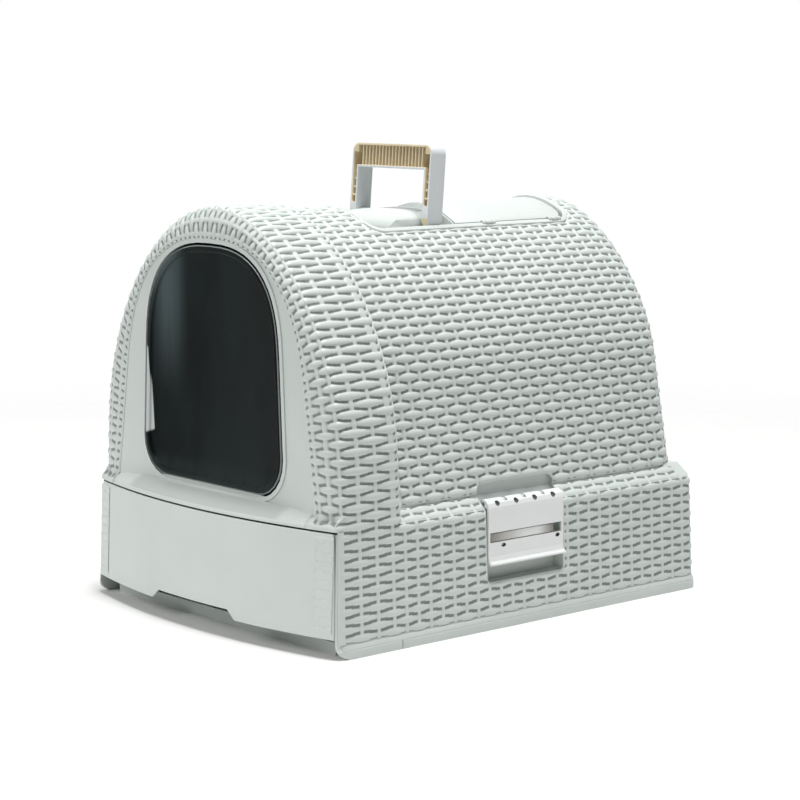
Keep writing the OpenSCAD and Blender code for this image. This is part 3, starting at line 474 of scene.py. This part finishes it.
# ---------------------------------------------------------------- front band
# The belly of the drawer's front, in plan: radius and Y of its middle
BELLY_R, BELLY_Y = 740.0, 493.2
# The chin above the drawer: Z of its top and foot, and how far it draws in between them
CHIN_TOP, CHIN_LOW, CHIN_BOW = 130.5, 115.3, 32.0
# Z between which shade is painted on the chin, and half the width of its own sheet
CHIN_FOOT, CHIN_CREASE, CHIN_HALF = 115.5, 133.0, 150
# Z where the band's sheet meets the skirt's, and the spacing of the rows that is aimed at
JOIN, ROW = 115.4, 8.35
# Stakes of the band. Their place v is explained at band_base, and the gaps between them are in mm
BAR_Y, BAR_HALF, BAR_V = -217.5, 2.6, 0.735
FIRST_STAKES = [-197.5, -177.5, -158.5]
STRIP_STAKES, STEP_STAKES = [-0.2, 0.03, 0.37, BAR_V], [2.45, 3.0]
STAKE_GAPS = np.array([8.5, 12.6, 11.0, 19.0, 20.0, 18.5, 14.0, 9.0])
STRIP_STAKE_HALF, BAND_STAKE_HALF = 2.4, 2.0
# Share of the weave's height on the strip, in front of the corner bar
STRIP_HEIGHT = 0.7
# Length over which the strip's weave ends above the seam, and over how much of v this fades out at the corner
STRIP_FOOT, STRIP_FOOT_V = 5.0, 0.15

band_arc = Arc(BAND, RIM_TOP)
band_rows = round(band_arc.total / ROW - 0.5)
band_pitch = band_arc.total / (band_rows + 0.5)
join_t = band_arc.of_z(JOIN)
band_stakes = np.array(
    STRIP_STAKES + [1 + (y - BAND_FRONT) / (STEP_FRONT - BAND_FRONT) for y in FIRST_STAKES] + STEP_STAKES)


def chin_y(x, z):
    """Y of the chin at x and z."""
    rise = np.clip((z - CHIN_LOW) / (CHIN_TOP - CHIN_LOW), 0, 1)
    bow = BELLY_R - CHIN_BOW * (1 - np.sqrt(1 - rise ** 2))
    return np.where(z < CHIN_TOP, BELLY_Y - np.sqrt(bow ** 2 - x ** 2), 0.0)


def strip_point(tau, reach):
    """X and Z on the corner strip: reach is 0 at the panel's edge and 1 at the band."""
    px, pz = outline(PANEL, tau)
    bx, bz = outline(BAND, tau)
    return mix(px, bx, reach), mix(pz, bz, reach)


def strip_inward(tau, reach):
    """The strip's point that lies straight in from the band's point at tau, found by halving."""
    bx, bz = outline(BAND, tau)
    upright = (BAND[0], 0.0) + BAND[2:]
    ax, az = outline(upright, tau - 0.002)
    cx, cz = outline(upright, tau + 0.002)
    low, high = np.zeros_like(tau), np.full_like(tau, 2.0)
    for _ in range(26):
        middle = (low + high) / 2
        x, z = strip_point(middle, reach)
        short = (x - bx) * (cx - ax) + (z - bz) * (cz - az) < 0
        low, high = np.where(short, middle, low), np.where(short, high, middle)
    return strip_point((low + high) / 2, reach)


def band_base(t, v):
    """Front band, t along its arch from the crown. v runs below 0 on the panel, 0 to 1 round the corner strip,
    1 to 2 back along the band and 2 to 3 down the step to the rear arch."""
    tau = band_arc.at(t)
    rx, rz = outline(REAR, tau)
    bend = np.clip(v, 0, 1) * math.pi / 2
    on_panel = np.minimum(v, 0) * math.pi / 2 * (1 - 0.6 * np.clip(tau - 1, 0, 1))
    down = (1 - np.cos(np.clip(v - 2, 0, 1) * math.pi)) / 2
    x, z = strip_inward(tau, np.sin(bend) + on_panel)
    front = np.minimum(PANEL_Y + STRIP_D * (1 - np.cos(bend)), chin_y(x, z))
    x, z = mix(x, rx, down), mix(z, rz, down)
    y = np.where(v < 1, front, np.where(
        v < 2, mix(BAND_FRONT, STEP_FRONT, v - 1), mix(STEP_FRONT, STEP_REAR, np.clip(v - 2, 0, 1))))
    return np.stack([x * np.sign(t), y, z], -1)


def band_height(t, v):
    s, _ = column(band_stakes, v)
    gap = STAKE_GAPS[np.clip(s.astype(int), 0, len(STAKE_GAPS) - 1)]
    stake = np.where(v < 1, STRIP_STAKE_HALF, BAND_STAKE_HALF)
    h = weave(s, (band_arc.total - np.abs(t)) / band_pitch, gap, stake=stake)
    near_seam = 1 - fade(join_t - np.abs(t) - 0.5, STRIP_FOOT)
    foot = 1 - np.clip((1 - v) / STRIP_FOOT_V, 0, 1) * near_seam
    return h * np.where(v < BAR_V, STRIP_HEIGHT, 1.0), fade(v + 0.2, 0.08) * fade(3 - v, 0.1) * foot


def chin_shade(z):
    """How much shade is painted on the chin below its crease, where it faces up into the light."""
    return fade(z - CHIN_FOOT, 4.0) * fade(CHIN_CREASE - z, 4.5)


# Painted shade on the corner strip beside the chin, half as strong as on the chin
def band_shade_paint(t, v):
    return np.where(v < 1, 0.5 * chin_shade(band_base(t, v)[..., 2]) * fade(v + 0.2, 0.15), 0.0)


half_lines = band_arc.total - stations(np.arange(band_rows + 1) * band_pitch, ACROSS_ROW)
crown_lines = (ACROSS_ROW - 0.5) * band_pitch
row_lines = np.concatenate([-half_lines, crown_lines, half_lines])
row_lines = np.unique(np.round(row_lines[np.abs(row_lines) < join_t - 0.3], 4))
skin("band_weave", np.concatenate([[-join_t], row_lines, [join_t]]),
     stations(band_stakes, ALONG_STRAND, (1.0, 2.0)), band_base, band_height,
     lift=ARCH_LIFT, floor=0.3, shade_paint=band_shade_paint)


def chin_base(x, z):
    """Panel and chin, their crease filled softly over the distance near."""
    ahead, near = PANEL_Y - chin_y(x, z), 3.0
    fill = np.maximum(near - np.abs(ahead), 0) ** 2 / (4 * near)
    return np.stack([x, PANEL_Y - np.maximum(ahead, 0) - fill, z], -1)


def chin_height(x, z):
    return np.zeros_like(x), np.zeros_like(x)


# Painted shade on the chin's own sheet, fading out towards its ends
def chin_shade_paint(x, z):
    return chin_shade(z) * fade(CHIN_HALF - np.abs(x), 40)


# The chin's sheet fills its crease softly and carries the chin's painted shade
# Grid lines up the chin, closer together at its crease
chin_z = np.append(np.linspace(CHIN_FOOT, 127.5, 13), np.linspace(128, 134, 13))
skin("chin_skin", np.linspace(-CHIN_HALF, CHIN_HALF, 121), chin_z, chin_base, chin_height,
     lift=0.0, floor=0.12, shade_paint=chin_shade_paint)

# ---------------------------------------------------------------- rear arch
STAKE, REAR_ROW = 13.743, 8.55
# Opening round the well in the crown, grown by its lip: half width, front and rear Y, corner radius
WELL_LIP = 2.6
WELL = (62.0 + WELL_LIP, -77.5 - WELL_LIP, 188.5 + WELL_LIP, 16.0 + WELL_LIP)
# Z that parts the crown, with the well's opening, from the sides, with the clips' pockets
CROWN_Z = 250
# X where the arch is split into its side and top sheets
SPLIT_X = 100
# How much the hollows rise over the folds in the hood below, and over what length this ends at the rear
FOLD_RISE, FOLD_END = 1.0, 12

rear_arc = Arc(REAR, ARCH_FOOT)
rear_rows = round(rear_arc.total / REAR_ROW - 0.5)
rear_pitch = rear_arc.total / (rear_rows + 0.5)
rear_edges = (np.arange(-rear_rows, rear_rows + 2) - 0.5) * rear_pitch
ROUND_START = ARCH_REAR - REAR_ROUND
rear_end = ROUND_START + REAR_ROUND * math.pi / 2
rear_stakes = STEP_REAR + np.arange(30) * STAKE


def rear_base(t, v):
    """Rear arch, t along it from the crown. v is Y up to the rear rounding, then the length round it."""
    turn = np.clip((v - ROUND_START) / REAR_ROUND, 0, math.pi / 2)
    tau = rear_arc.at(t)
    x, z = outline(REAR, tau)
    off = REAR_ROUND * (1 - np.cos(turn))
    ox, oz = outline(REAR, tau, 1.0)
    x, z = x + (ox - x) * off, z + (oz - z) * off
    y = np.where(turn > 0, ROUND_START + REAR_ROUND * np.sin(turn), v)
    return np.stack([x * np.sign(t), y, z], -1)


def rear_hole(t, v):
    x, z = outline(REAR, rear_arc.at(t))
    well = rounded_gap(x, v, *WELL)
    pocket = rounded_gap(v - POCKET_Y, z, POCKET_HALF, POCKET_LOW, POCKET_TOP, TOP_ROUND)
    return np.where(z > CROWN_Z, well, np.where(z < CROWN_Z, pocket, FAR))


def rear_height(t, v):
    s, gap = column(rear_stakes, v)
    h = weave(s, t / rear_pitch + 0.5, gap)
    return h, fade(v - STEP_REAR, 2.0) * fade(rear_end - v, 1.5) * fade(rear_arc.total - np.abs(t), 1.2)


def rear_floor(t, v):
    """Height of the sheet's hollows, clear of the folds in the hood below."""
    folds = np.clip((v - STEP_REAR) / STAKE, 0, 1) * np.clip((ROUND_START - v) / FOLD_END, 0, 1)
    return 0.3 + FOLD_RISE * folds


v_lines = stations(rear_stakes, ALONG_STRAND, (POCKET_Y - POCKET_HALF, POCKET_Y + POCKET_HALF, WELL[1], WELL[2]))
split = rear_edges[np.argmin(np.abs(rear_edges - rear_arc.of_x(SPLIT_X)))]
for name, t0, t1 in (("arch_weave_left", -rear_arc.total, -split), ("arch_weave_top", -split, split),
                     ("arch_weave_right", split, rear_arc.total)):
    some = rear_edges[(rear_edges >= t0 - 0.01) & (rear_edges <= t1 + 0.01)]
    skin(name, stations(some, ACROSS_ROW), v_lines, rear_base, rear_height,
         lift=ARCH_LIFT, floor=rear_floor, hole=rear_hole)


# ---------------------------------------------------------------- rear wall
# Foot of the rear wall's weave, its rows and stakes, and its margin inside the rear rounding
BACK_LOW, BACK_ROWS, BACK_STAKES, BACK_MARGIN = 128.0, 31, 24, 1.5
back_z = np.arange(BACK_ROWS) * ROW + BACK_LOW
back_x = (np.arange(BACK_STAKES) - (BACK_STAKES - 1) / 2) * STAKE


def back_base(x, z):
    return np.stack([x, np.full_like(x, ARCH_REAR), z], -1)


def back_hole(x, z):
    """Distance inside the arch's flat rear wall, which ends where the rear rounding starts."""
    half, lean, spring, top, square = REAR
    half, top = half - REAR_ROUND - BACK_MARGIN, top - REAR_ROUND - BACK_MARGIN
    wall = half - lean * z
    high = np.clip((z - spring) / (top - spring), 0, 1)
    reach = (np.abs(x) / np.maximum(wall, 1)) ** square + high ** square
    curved = (1 - reach ** (1 / square)) * 0.8 * (top - spring)
    return np.where(z < spring, wall - np.abs(x), curved)


def back_height(x, z):
    return weave(x / STAKE + 0.5, (z - BACK_LOW) / ROW, STAKE), fade(z - BACK_LOW, 1.2)


skin("back_weave", stations(back_x, ALONG_STRAND), stations(back_z, ACROSS_ROW), back_base, back_height,
     lift=WALL_LIFT, floor=0.15, hole=back_hole, flip=True)

# ---------------------------------------------------------------- skirt
# Y where the skirt starts at the drawer's side, and the spacing of its stakes
FRONT_EDGE, SKIRT_STAKE = -221.6, 14.8
SKIRT_ROWS, LEDGE_ROW = 14, 12
# Height of the plain bar beside the drawer, as a share of the weave's
BAR_HEIGHT = 0.66
# How far the front corner draws in, and the turn over the ledge's edge: the Z where it starts, and its slope
CORNER_PULL, EDGE_Z, EDGE_SLOPE = 1.5, 111, 0.45
# Z above the whole skirt, up to which the pocket is open
OVER_SKIRT = 200.0

side_run = SKIRT_REAR - CORNER - FRONT_EDGE
turn_run = CORNER * math.pi / 2
back_run = 2 * (SKIRT_HALF - CORNER)
skirt_run = 2 * (side_run + turn_run) + back_run
row_step = band_pitch / math.hypot(1, LEAN)
skirt_z = RIM_TOP + np.arange(SKIRT_ROWS) * row_step
wall_top = skirt_z[LEDGE_ROW]
stakes = [0.0, BAR_Y - FRONT_EDGE] + [y - FRONT_EDGE for y in FIRST_STAKES]
while stakes[-1] + 1.5 * SKIRT_STAKE < skirt_run / 2:
    stakes.append(stakes[-1] + SKIRT_STAKE)
stakes.append(skirt_run / 2)
skirt_stakes = np.array(stakes + [skirt_run - s for s in stakes[-2::-1]])


def skirt_path(p):
    """Plan place and outward direction along the skirt from its front right end, round the rear, to the left."""
    turned = p > skirt_run / 2
    q = np.where(turned, skirt_run - p, p)
    angle = np.clip((q - side_run) / CORNER, 0, math.pi / 2)
    past = np.maximum(q - side_run - turn_run, 0)
    x = SKIRT_HALF - CORNER + CORNER * np.cos(angle) - past
    y = FRONT_EDGE + np.minimum(q, side_run) + CORNER * np.sin(angle)
    side = np.where(turned, -1.0, 1.0)
    return x * side, y, np.cos(angle) * side, np.sin(angle)


def front_rake(y, z):
    """How far the skirt's front edge stands forward below the ledge."""
    return np.maximum(0, LEDGE - z) * FRONT_SLOPE * np.clip((BAND_FRONT - y) / STRIP_D, 0, 1)


def skirt_base(p, z):
    """The skirt's wall, with the front corner's rounding, the rake of its front edge and the ledge's edge."""
    x, y, nx, ny = skirt_path(p)
    bend = np.arccos(np.clip(1 - (y - PANEL_Y) / STRIP_D, 0, 1))
    pull = CORNER_PULL * (1 - np.sin(bend))
    d = -LEAN * z - pull - EDGE_SLOPE * np.maximum(0, z - EDGE_Z) * (y > STEP_FRONT)
    return np.stack([x + nx * d, y + ny * d - front_rake(y, z), z], -1)


def skirt_hole(p, z):
    x, y, nx, ny = skirt_path(p)
    pocket = rounded_gap(y - POCKET_Y, z, POCKET_HALF, POCKET_LOW - 1, OVER_SKIRT, FOOT_ROUND)
    pocket = np.where(np.abs(nx) > 0.5, pocket, FAR)
    under_ledge = np.maximum(STEP_FRONT + 2 - y, wall_top - z)
    return np.minimum(pocket, under_ledge + 1.2)


def skirt_height(p, z):
    s, gap = column(skirt_stakes, p)
    h = weave(s, (z - RIM_TOP) / row_step, gap, lens=0.68, slant=0.16, round_=2.6, low=0.34)
    from_end = np.minimum(p, skirt_run - p)
    bar_end = BAR_Y + BAR_HALF - FRONT_EDGE
    bar = np.where(from_end > bar_end - 2 * BAR_HALF, np.maximum(h, BAR_HEIGHT), BAR_HEIGHT)
    return np.where(from_end < bar_end, bar, h), fade(from_end, 1.8) * fade(z - RIM_TOP, 1.2)


marks = (POCKET_Y - POCKET_HALF - FRONT_EDGE, POCKET_Y + POCKET_HALF - FRONT_EDGE,
         BAR_Y + BAR_HALF - FRONT_EDGE, STEP_FRONT + 2 - FRONT_EDGE)
marks = marks + tuple(skirt_run - m for m in marks)
z_lines = stations(skirt_z, ACROSS_ROW, (POCKET_LOW - 1, wall_top))
z_lines = np.append(z_lines[z_lines < JOIN - 0.3], JOIN)
skin("skirt_weave", stations(skirt_stakes, ALONG_STRAND, marks), z_lines, skirt_base, skirt_height,
     lift=WALL_LIFT, floor=0.3, hole=skirt_hole)

# The rim's profile: Z, and how far it stands out of the skirt's wall there
RIM_Z, RIM_OUT = (8.0, 9.5, 10.0, 12.0, 13.0), (2.74, 1.51, 1.10, 0.64, 0.41)
BEAD_LOW = 8.2
# The bead's end beside the drawer, and the spacing of its grid lines along the sides
BEAD_END, BEAD_STEP = 3, 12


def bead_base(p, w):
    """Slope between the rim and the skirt: w runs 0 to 1 up it."""
    x, y, nx, ny = skirt_path(p)
    z = mix(BEAD_LOW, RIM_TOP, w)
    d = np.interp(z, RIM_Z, RIM_OUT) - LEAN * z
    return np.stack([x + nx * d, y + ny * d - front_rake(y, z), z], -1)


def bead_height(p, w):
    from_end = np.minimum(p, skirt_run - p)
    return np.sqrt(np.maximum(0, 1 - (2 * w - 1) ** 2)), fade(from_end - BEAD_END, 3.0)


turn_end, back_end = side_run + turn_run, skirt_run - side_run - turn_run
bead_lines = np.concatenate([
    np.arange(BEAD_END, side_run, BEAD_STEP), np.linspace(side_run, turn_end, 9),
    np.linspace(turn_end, back_end, 12)[1:-1], np.linspace(back_end, skirt_run - side_run, 9),
    np.arange(skirt_run - BEAD_END, skirt_run - side_run, -BEAD_STEP)[::-1]])
skin("rim_bead", bead_lines, np.linspace(0, 1, 11), bead_base, bead_height, lift=1.3, floor=0.1, hollow_shade=0.7)

# ---------------------------------------------------------------- ledge
# X and Z of the sloping ledge's outer and inner edges, and Y of its ends
LEDGE_OUT, LEDGE_IN = (184.1, 113.25), (172.2, 124.6)
LEDGE_FRONT, LEDGE_REAR = -149.0, 232.0
ledge_stakes = skirt_stakes[skirt_stakes < skirt_run / 2] + FRONT_EDGE
ledge_stakes = ledge_stakes[(ledge_stakes > LEDGE_FRONT) & (ledge_stakes < LEDGE_REAR)]


def ledge_hole(y, w):
    return np.abs(y - POCKET_Y) - POCKET_HALF


def ledge_height(y, w):
    s, gap = column(ledge_stakes, y)
    h = weave(s + 1, w * 2, gap, lens=0.70)
    ends = fade(y - ledge_stakes[0], 2.0) * fade(ledge_stakes[-1] - y, 2.0)
    return h, ends * fade(1 - w, 0.04)


def ledge_sheet(side, label):
    def ledge_base(y, w):
        x, z = mix(LEDGE_OUT[0], LEDGE_IN[0], w), mix(LEDGE_OUT[1], LEDGE_IN[1], w)
        return np.stack([x * side, y, z], -1)

    y_lines = stations(ledge_stakes, ALONG_STRAND, (POCKET_Y - POCKET_HALF, POCKET_Y + POCKET_HALF))
    skin("ledge_weave_" + label, y_lines, stations([0, 0.5, 1], ACROSS_ROW), ledge_base, ledge_height,
         lift=1.3, floor=0.25, hole=ledge_hole, flip=side < 0)


# ---------------------------------------------------------------- drawer front
# The faint woven columns at the drawer's ends: X of their stakes, lowest and highest Z
FAINT_STAKES = np.array([162.5, 169.5, 177.0, 183.0])
DRAWER_LOW, DRAWER_TOP = 24.0, 111.0
drawer_z = stations(skirt_z, ACROSS_ROW, (DRAWER_LOW, DRAWER_TOP))
drawer_z = drawer_z[(drawer_z >= DRAWER_LOW) & (drawer_z <= DRAWER_TOP)]


def drawer_height(x, z):
    s, gap = column(FAINT_STAKES, x)
    h = weave(s, (z - RIM_TOP) / row_step, gap, lens=0.82, slant=0.12, round_=4.0, low=0.7, stake=1.3)
    ends = fade(x - FAINT_STAKES[0] + 0.5, 1.0) * fade(FAINT_STAKES[-1] - x + 0.5, 1.0)
    return h, ends * fade(z - DRAWER_LOW, 1.5) * fade(DRAWER_TOP - z, 1.5)


def drawer_floor(x, z):
    return 0.25 * fade(x - FAINT_STAKES[0] + 1.5, 2)


def drawer_columns(side, label):
    def drawer_base(x, z):
        y = BELLY_Y - np.sqrt(BELLY_R ** 2 - x ** 2) * math.hypot(1, FRONT_SLOPE) - (SEAM - z) * FRONT_SLOPE
        return np.stack([x * side, y, z], -1)

    skin("drawer_weave_" + label, stations(FAINT_STAKES, ALONG_STRAND), drawer_z, drawer_base, drawer_height,
         lift=0.6, floor=drawer_floor, flip=side < 0, hollow_shade=0.5, body="drawer")


SIDES = ((1, "right"), (-1, "left"))
for side, label in SIDES:
    ledge_sheet(side, label)
for side, label in SIDES:
    drawer_columns(side, label)


# ---------------------------------------------------------------- rounded mouldings
BEVEL_ANGLE, SMOOTH_ANGLE, FLAT_ANGLE = math.radians(38), math.radians(32), math.radians(0.5)


def oval_cutter(place, size):
    """Cutter in the shape of an egg, place and half sizes in mm."""
    bpy.ops.object.select_all(action="DESELECT")
    bpy.ops.mesh.primitive_uv_sphere_add(segments=20, ring_count=12, radius=1.0)
    cutter = bpy.context.object
    cutter.location = Vector(place) * MM
    cutter.scale = Vector(size) * MM
    bpy.ops.object.transform_apply(location=True, rotation=True, scale=True)
    return cutter


def in_oval(corners, middle, size):
    """Whether all the corners lie in an oval, with a little to spare."""
    return all(sum(((c[i] / MM - middle[i]) / size[i]) ** 2 for i in range(3)) < 1.04 for c in corners)


def line_ovals(piece, ovals, inside):
    """Give the faces in the ovals the finish inside."""
    piece.data.materials.append(inside.material)
    for face in piece.data.polygons:
        corners = [piece.data.vertices[v].co for v in face.vertices]
        face.material_index = int(any(in_oval(corners, *oval) for oval in ovals))


def merged_copy(node, name):
    """Copy of a CAD node with its doubles merged and its flat faces made whole."""
    bpy.ops.object.select_all(action="DESELECT")
    node.select_set(True)
    bpy.context.view_layer.objects.active = node
    bpy.ops.object.duplicate()
    piece = bpy.context.object
    for key in list(piece.keys()):
        del piece[key]
    piece.name = name
    bpy.ops.object.mode_set(mode="EDIT")
    bpy.ops.mesh.select_all(action="SELECT")
    bpy.ops.mesh.remove_doubles(threshold=1e-6)
    bpy.ops.mesh.dissolve_limited(angle_limit=FLAT_ANGLE)
    bpy.ops.object.mode_set(mode="OBJECT")
    return piece


def softened(name, radius, finish, segments=2, clamp=True, ovals=()):
    """A CAD piece with its edges rounded, shown in that piece's place.
    ovals are cut into it, each with its middle and half sizes in mm."""
    node = frame["nodes"][name]
    piece = merged_copy(node, name + "_rounded")
    for place, size in ovals:
        cutter = oval_cutter(place, size)
        bpy.context.view_layer.objects.active = piece
        cut = piece.modifiers.new("cut", "BOOLEAN")
        cut.operation, cut.solver, cut.object = "DIFFERENCE", "EXACT", cutter
        bpy.ops.object.modifier_apply(modifier=cut.name)
        bpy.data.objects.remove(cutter)
    bevel = piece.modifiers.new("edges", "BEVEL")
    bevel.width, bevel.segments, bevel.use_clamp_overlap = radius * MM, segments, clamp
    bevel.limit_method, bevel.angle_limit = "ANGLE", BEVEL_ANGLE
    bpy.ops.object.modifier_apply(modifier=bevel.name)
    bpy.ops.object.shade_smooth_by_angle(angle=SMOOTH_ANGLE)
    wear(piece, finish)
    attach(piece, node["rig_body"])
    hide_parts(name)
    return piece


# Y and Z of the two small holes under a clip's window, and Y of the four in its hinge edge, from its middle
LOW_HOLES, LOW_HOLE_SIZE = ((-29.5, 78.6), (41.5, 79.2)), (4.0, 2.9, 1.9)
HINGE_HOLES, HINGE_HOLE_SIZE = (-36.5, -12.2, 12.2, 36.5), (2.8, 2.8, 3.0)
LOW_HOLE_X, HINGE_HOLE_X, HINGE_HOLE_Z = 188.0, 186.4, 119.3
CLIP_Y = POCKET_Y


def clip(side, label):
    low = [((side * LOW_HOLE_X, CLIP_Y + y, z), LOW_HOLE_SIZE) for y, z in LOW_HOLES]
    high = [((side * HINGE_HOLE_X, CLIP_Y + y, HINGE_HOLE_Z), HINGE_HOLE_SIZE) for y in HINGE_HOLES]
    piece = softened("latch_" + label, 0.7, white, ovals=low + high)
    # The insides of the holes get painted shade
    line_ovals(piece, low + high, clip_hole_shade)


def smoked_flap():
    """The flap, with a painted highlight: a lighter finish on the rounding of its outer rim where light falls,
    apart from the left and the foot.
    """
    flap = softened("door_flap", 1.2, smoked, segments=4, clamp=False)
    flap.data.materials.append(painted_rim_highlight.material)
    crest = min(v.co.y for v in flap.data.vertices)
    middle_z, lit_x, lit_z, rim_depth = 0.25, -88 * MM, 300 * MM, 2 * MM
    for face in flap.data.polygons:
        place = face.center
        outward = Vector((place.x, 0, place.z - middle_z)).normalized()
        lit = (place.x > lit_x or place.z > lit_z) and place.y < crest + rim_depth
        face.material_index = int(lit and 0.1 < face.normal.dot(outward) < 0.95)


for side, label in SIDES:
    clip(side, label)
smoked_flap()
softened("drawer_front", 1.2, mint, segments=3, clamp=False)
softened("filter_lid", 0.6, mint)
softened("top_well", 0.7, mint)


# ---------------------------------------------------------------- handle
# Y and Z of the axis that the handle folds on, and how far it leans back when it is up
HANDLE_AXIS, HANDLE_LEAN = (5.0, 378.015), math.radians(4.5)
# Half width, a leg's width, depth, height of the grip, and rise of its top above the axis
HANDLE_HALF, LEG_W, HANDLE_D, GRIP_H, HANDLE_RISE = 59.2, 9.6, 19.0, 24.0, 71.0
# Skin round the ribbed hollow, its back's thickness, and the rounding of the upper corners that stays white
HOLLOW_EDGE, HOLLOW_BACK, CORNER_ROUND, CORNER_HOLLOW = 0.5, 1.0, 9, 8.0


def in_hollow(centre):
    """Whether a point of the handle is in its ribbed hollow or on its front edge."""
    x, y, z = abs(centre[0]) / MM, centre[1] / MM - HANDLE_AXIS[0], centre[2] / MM - HANDLE_AXIS[1]
    back = y * math.cos(HANDLE_LEAN) - z * math.sin(HANDLE_LEAN)
    up = z * math.cos(HANDLE_LEAN) + y * math.sin(HANDLE_LEAN)
    side, top = HANDLE_HALF - HOLLOW_EDGE, HANDLE_RISE - HOLLOW_EDGE
    in_grip = HANDLE_RISE - GRIP_H + HOLLOW_EDGE < up < top and x < side
    in_leg = HANDLE_HALF - LEG_W + HOLLOW_EDGE < x < side and up < top
    turn = math.hypot(max(0, x - HANDLE_HALF + CORNER_ROUND), max(0, up - HANDLE_RISE + CORNER_ROUND))
    return (in_grip or in_leg) and turn < CORNER_HOLLOW and back < HANDLE_D / 2 - HOLLOW_BACK


handle = softened("handle", 0.45, handle_white)
handle.data.materials.append(cream.material)
for face in handle.data.polygons:
    face.material_index = int(in_hollow(face.center))


# ---------------------------------------------------------------- floor, light and camera
FADE_START, FADE_LENGTH = 0.55, 1.2
WORLD_TINT, WORLD_STRENGTH = (0.96, 0.98, 1, 1), 0.23
LIT_POINT, VIEW_POINT = (0, 0, 0.2), (0, -0.0045, 0.2)
EYE, LENS, SHIFT = (1.7654, -1.5210, 0.5225), 105.77, (0.01525, -0.00675)


def stage_sheet():
    """Pale floor that fades into the white surroundings away from the object."""
    bpy.ops.mesh.primitive_plane_add(size=14, location=(0, 0, 0))
    floor = bpy.context.object
    floor.name = "floor"
    f = Finish("pale_floor", Roughness=0.7)
    away = f.node("VectorMath", {"operation": "LENGTH"}, {0: f.place()}, out=1)
    f.drive(
        Base_Color=f.tint(f.noise(3.0), srgb(238, 238, 236), srgb(242, 242, 240)),
        Alpha=1 - away.above(FADE_START, FADE_LENGTH),
    )
    wear(floor, f)


def look_at(thing, place, target):
    thing.location = place
    thing.rotation_euler = (Vector(target) - Vector(place)).to_track_quat("-Z", "Y").to_euler()


def softbox(name, place, size, power):
    light = bpy.data.lights.new(name, "AREA")
    light.shape, light.size, light.size_y = "RECTANGLE", size[0], size[1]
    light.energy = power
    lamp = bpy.data.objects.new(name, light)
    bpy.context.scene.collection.objects.link(lamp)
    look_at(lamp, place, LIT_POINT)


def surroundings():
    """World that lights the object softly and is seen white, also in gloss and through the flap."""
    world = bpy.data.worlds.new("studio")
    bpy.context.scene.world = world
    w = Nodes(world)
    camera_ray, glossy_ray, through_ray = (
        w.node("LightPath", out=ray) for ray in ("Is Camera Ray", "Is Glossy Ray", "Is Transmission Ray"))
    unseen = (1 - camera_ray) * (1 - glossy_ray) * (1 - through_ray)
    seen = w.node("Background", {}, {"Color": (1, 1, 1, 1)})
    soft = w.node("Background", {}, {"Color": WORLD_TINT, "Strength": WORLD_STRENGTH})
    w.surface("OutputWorld", w.node("MixShader", {}, {0: unseen, 1: seen, 2: soft}).socket)


def camera():
    data = bpy.data.cameras.new("view")
    data.sensor_width, data.lens, data.clip_end = 36, LENS, 50
    data.shift_x, data.shift_y = SHIFT
    eye = bpy.data.objects.new("view", data)
    bpy.context.scene.collection.objects.link(eye)
    look_at(eye, EYE, VIEW_POINT)
    bpy.context.scene.camera = eye


stage_sheet()
surroundings()
softbox("top", (0.42, -0.05, 2.9), (0.9, 1.4), 101)
softbox("key", (-1.0, -2.6, 1.9), (1.4, 1.4), 38)
camera()
bpy.context.scene.view_settings.view_transform = "Standard"
